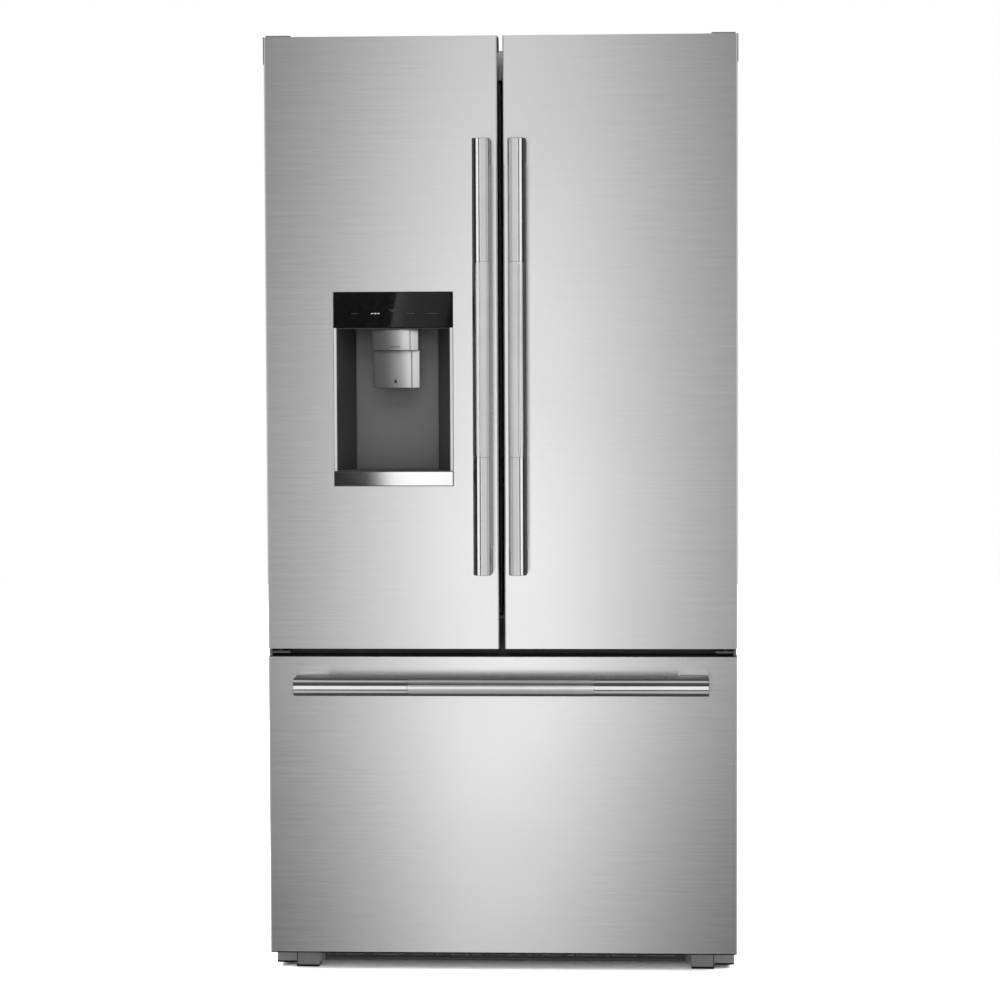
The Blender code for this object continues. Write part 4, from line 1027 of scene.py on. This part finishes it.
def build_back():
    """Screws and beads on the rear panel, louvres on the compressor cover, and the water inlet."""
    low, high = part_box("rear_panel")
    plate = Shape()
    screws(plate, (low.x + 0.012, 0, high.x - 0.012), high.y,
           (low.z + 0.015, (low.z + high.z) / 2, high.z - 0.015))
    for x in (-0.26, -0.13, 0.0, 0.13, 0.26):
        plate.strip(x, 0.006, (high.y - 0.0004, high.y + 0.0012), (low.z + 0.1, high.z - 0.1), 0.0009, 3)
    plate.done("rear_panel_detail", "cabinet", "galvanised")
    low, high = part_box("compressor_cover")
    louvres = Shape()
    for x in (-0.24, -0.08, 0.08, 0.24):
        for row in range(7):
            z = low.z + 0.05 + row * 0.022
            louvres.strip(x, 0.055, (high.y - 0.0006, high.y + 0.0016), (z, z + 0.006), 0.0012, 3)
    screws(louvres, (low.x + 0.012, high.x - 0.012), high.y, (low.z + 0.02, high.z - 0.02))
    louvres.done("cover_louvres", "cabinet", "galvanised")
    valve = Shape()
    x, z = high.x - 0.06, high.z - 0.04
    valve.strip(x, 0.018, (high.y - 0.0006, high.y + 0.004), (z - 0.014, z + 0.014), 0.0016, 3)
    valve.lathe([(0, 0), (0.0095, 0), (0.0095, 0.004), (0.0088, 0.0045), (0.0095, 0.005), (0.0095, 0.0085),
                 (0.006, 0.0088), (0.006, 0.004), (0, 0.004)], (x, high.y, z), (0, 1, 0), 28)
    valve.done("water_inlet", "cabinet", "white_plastic")


def build_top():
    """Hinge screws, and a seam along the cabinet's top."""
    detail = Shape()
    for side_name, _ in SIDES:
        low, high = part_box(f"hinge_cover_{side_name}")
        x, y, z = (low.x + high.x) / 2, (low.y + high.y) / 2, high.z - 0.0002
        for shift in (0.02, -0.03):
            detail.screw((x, y + shift, z), (0, 0, 1), 0.0042, 0.0016)
    detail.done("hinge_screws", "cabinet", "galvanised")
    low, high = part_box("cabinet_wrapper")
    seam, bottom, top = Shape(), high.z - 0.0003, high.z + 0.0007
    for x in (low.x + 0.01, high.x - 0.01):
        seam.strip(x, 0.0012, (low.y + 0.01, high.y - 0.006), (bottom, top), 0.0004)
    seam.block((low.x + 0.012, high.y - 0.012, bottom), (high.x - 0.012, high.y - 0.0095, top), 0.0004)
    seam.done("cabinet_seams", "cabinet", "painted_grey")


def build_details():
    for side_name, _ in SIDES:
        build_door_trim(f"{side_name}_door", f"{side_name}_door")
    build_door_trim("drawer", "freezer_drawer")
    for build in (build_top_lips, build_drawer_strip, build_grille, build_feet, build_shelves,
                  build_liner_detail, build_bins, build_evaporator_vents, build_back, build_top):
        build()


dress_nodes()
build_handles()
build_dispenser()
build_details()
place_camera()
light_world()
floor = lay_floor()
bpy.context.scene.view_settings.view_transform = "Standard"

doors = [nodes[name] for name in ("left_door_skin", "right_door_skin", "drawer_skin")]
pieces = [item for item in bpy.context.scene.objects if item.type == "MESH" and item is not floor]
bars = {key: [item for item in pieces if item.name.startswith(key + "_") and item.name not in nodes]
        for key in ("handle_left", "handle_right", "drawer_handle")}
bar_pieces = [item for group in bars.values() for item in group]
named = {item.name: item for item in pieces}
glass = [named["dispenser_glass"]]
sill = [named["dispenser_sill"], named["dispenser_slats"]]
nozzle = [named["dispenser_nozzle"], named["paddle_plate"]]
own_light = doors + bar_pieces + glass + sill + nozzle
rest = [item for item in pieces if item not in own_light]


def light_doors():
    """A panel that brightens towards its middle, and dim cards all around."""
    panel("door_panel", -0.298, 0.8, (3.2, 8.0), 1.58, doors, echo=0.3, pinch=(3.9, 0.41),
          across=((0.0, 0.0), (0.13, 0.1), (0.24, 0.28), (0.314, 0.37), (0.388, 0.68), (0.43, 1.04),
                  (0.555, 1.1), (0.61, 0.8), (0.647, 0.64), (0.684, 0.48), (0.76, 0.31), (1.0, 0.0)),
          up=((0.0, 0.2), (0.24, 0.6), (0.38, 1.0), (0.52, 0.86), (0.66, 0.62), (0.85, 0.4), (1.0, 0.3)))
    for name, turn in (("left", -48), ("right", 48), ("far_left", -95), ("far_right", 95),
                       ("back_left", -140), ("back_right", 140)):
        card(f"door_side_{name}", (0, -0.3, 1.0), turn, -8, (54, 105), 0.62, doors, 7.0, echo=0.1)


def light_upright_handle(side_name, side):
    """A bright strip on the outer side, an edge, and softer cards towards the other handle, with black
    between them; and a faint lamp flat on the doors behind the bar."""
    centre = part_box(f"handle_{side_name}")
    centre = (centre[0] + centre[1]) / 2
    receivers = bars[f"handle_{side_name}"]
    view = 3.0  # degrees by which the camera stands to the right
    for name, near, far, radiance in (("strip", -66.5, -33.5, 1.0), ("edge", -20.5, -12, 0.95),
                                      ("card", -12, 57, 0.66), ("low_card", 57, 87, 0.45),
                                      ("side", 87, 175, 0.22)):
        turn = (near + far) / 2
        card(f"{side_name}_{name}", centre, view - side * turn, 0, (far - near, 100), radiance, receivers)
    kick = Vector((-side * 0.13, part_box("left_door_skin")[0].y - 0.002, centre.z))
    lamp(f"{side_name}_kick", kick, kick - Vector((0, 1, 0)), (0.27, 0.9), 0.24, receivers)


def light_drawer_handle():
    """A bright card in front, and softer ones above and from the floor."""
    low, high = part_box("drawer_handle")
    for name, lift, tall, radiance in (("front", -4, 44, 0.95), ("above", 84, 34, 0.42),
                                       ("floor", -58, 36, 0.42)):
        card(f"drawer_{name}", (low + high) / 2, 0, lift, (140, tall), radiance, bars["drawer_handle"])


def light_dispenser():
    """Glass with a slanting dark half, a sill that brightens from the left, a nozzle lit from the right."""
    panel("glass_half", 0.134, 1.29, (1.6, 6.0), 1.0, glass, roll=-3.2,
          across=((0.0, 1.0), (0.25, 0.45), (1.0, 0.3)))
    panel("sill_light", 0.0, 0.7, (2.2, 8.0), 1.15, sill,
          across=((0.0, 0.05), (0.05, 0.25), (0.1, 0.8), (0.16, 1.0)))
    for name, turn, wide, radiance in (("right", 45, 66, 1.0), ("front", 10, 44, 0.35),
                                       ("left", -35, 60, 0.1)):
        card(f"nozzle_{name}", (-0.2, -0.29, 1.2), turn, 5, (wide, 80), radiance, nozzle)


light_dispenser()
light_doors()
for side_name, side in SIDES:
    light_upright_handle(side_name, side)
light_drawer_handle()
lamp("floor_light", (0, 0, 7.0), (0, 0, 0), (24.0, 24.0), 9.0, [floor], diffuse=True, glossy=False)
lamp("floor_front", (0, -8.0, 4.25), (0, 0, 4.25), (20.0, 7.5), 5.5, [floor], diffuse=True, glossy=False)
lamp("top_box", (0, -1.5, 4.5), (0, 0, 0.5), (4.0, 4.0), 2.4, pieces, diffuse=True, glossy=False)
for name, turn in (("front", 0), ("left", -75), ("right", 75), ("back_left", -140), ("back_right", 140)):
    card(f"studio_{name}", (0, 0, 1.0), turn, 10, (50, 60), 0.7, rest, 6.0)
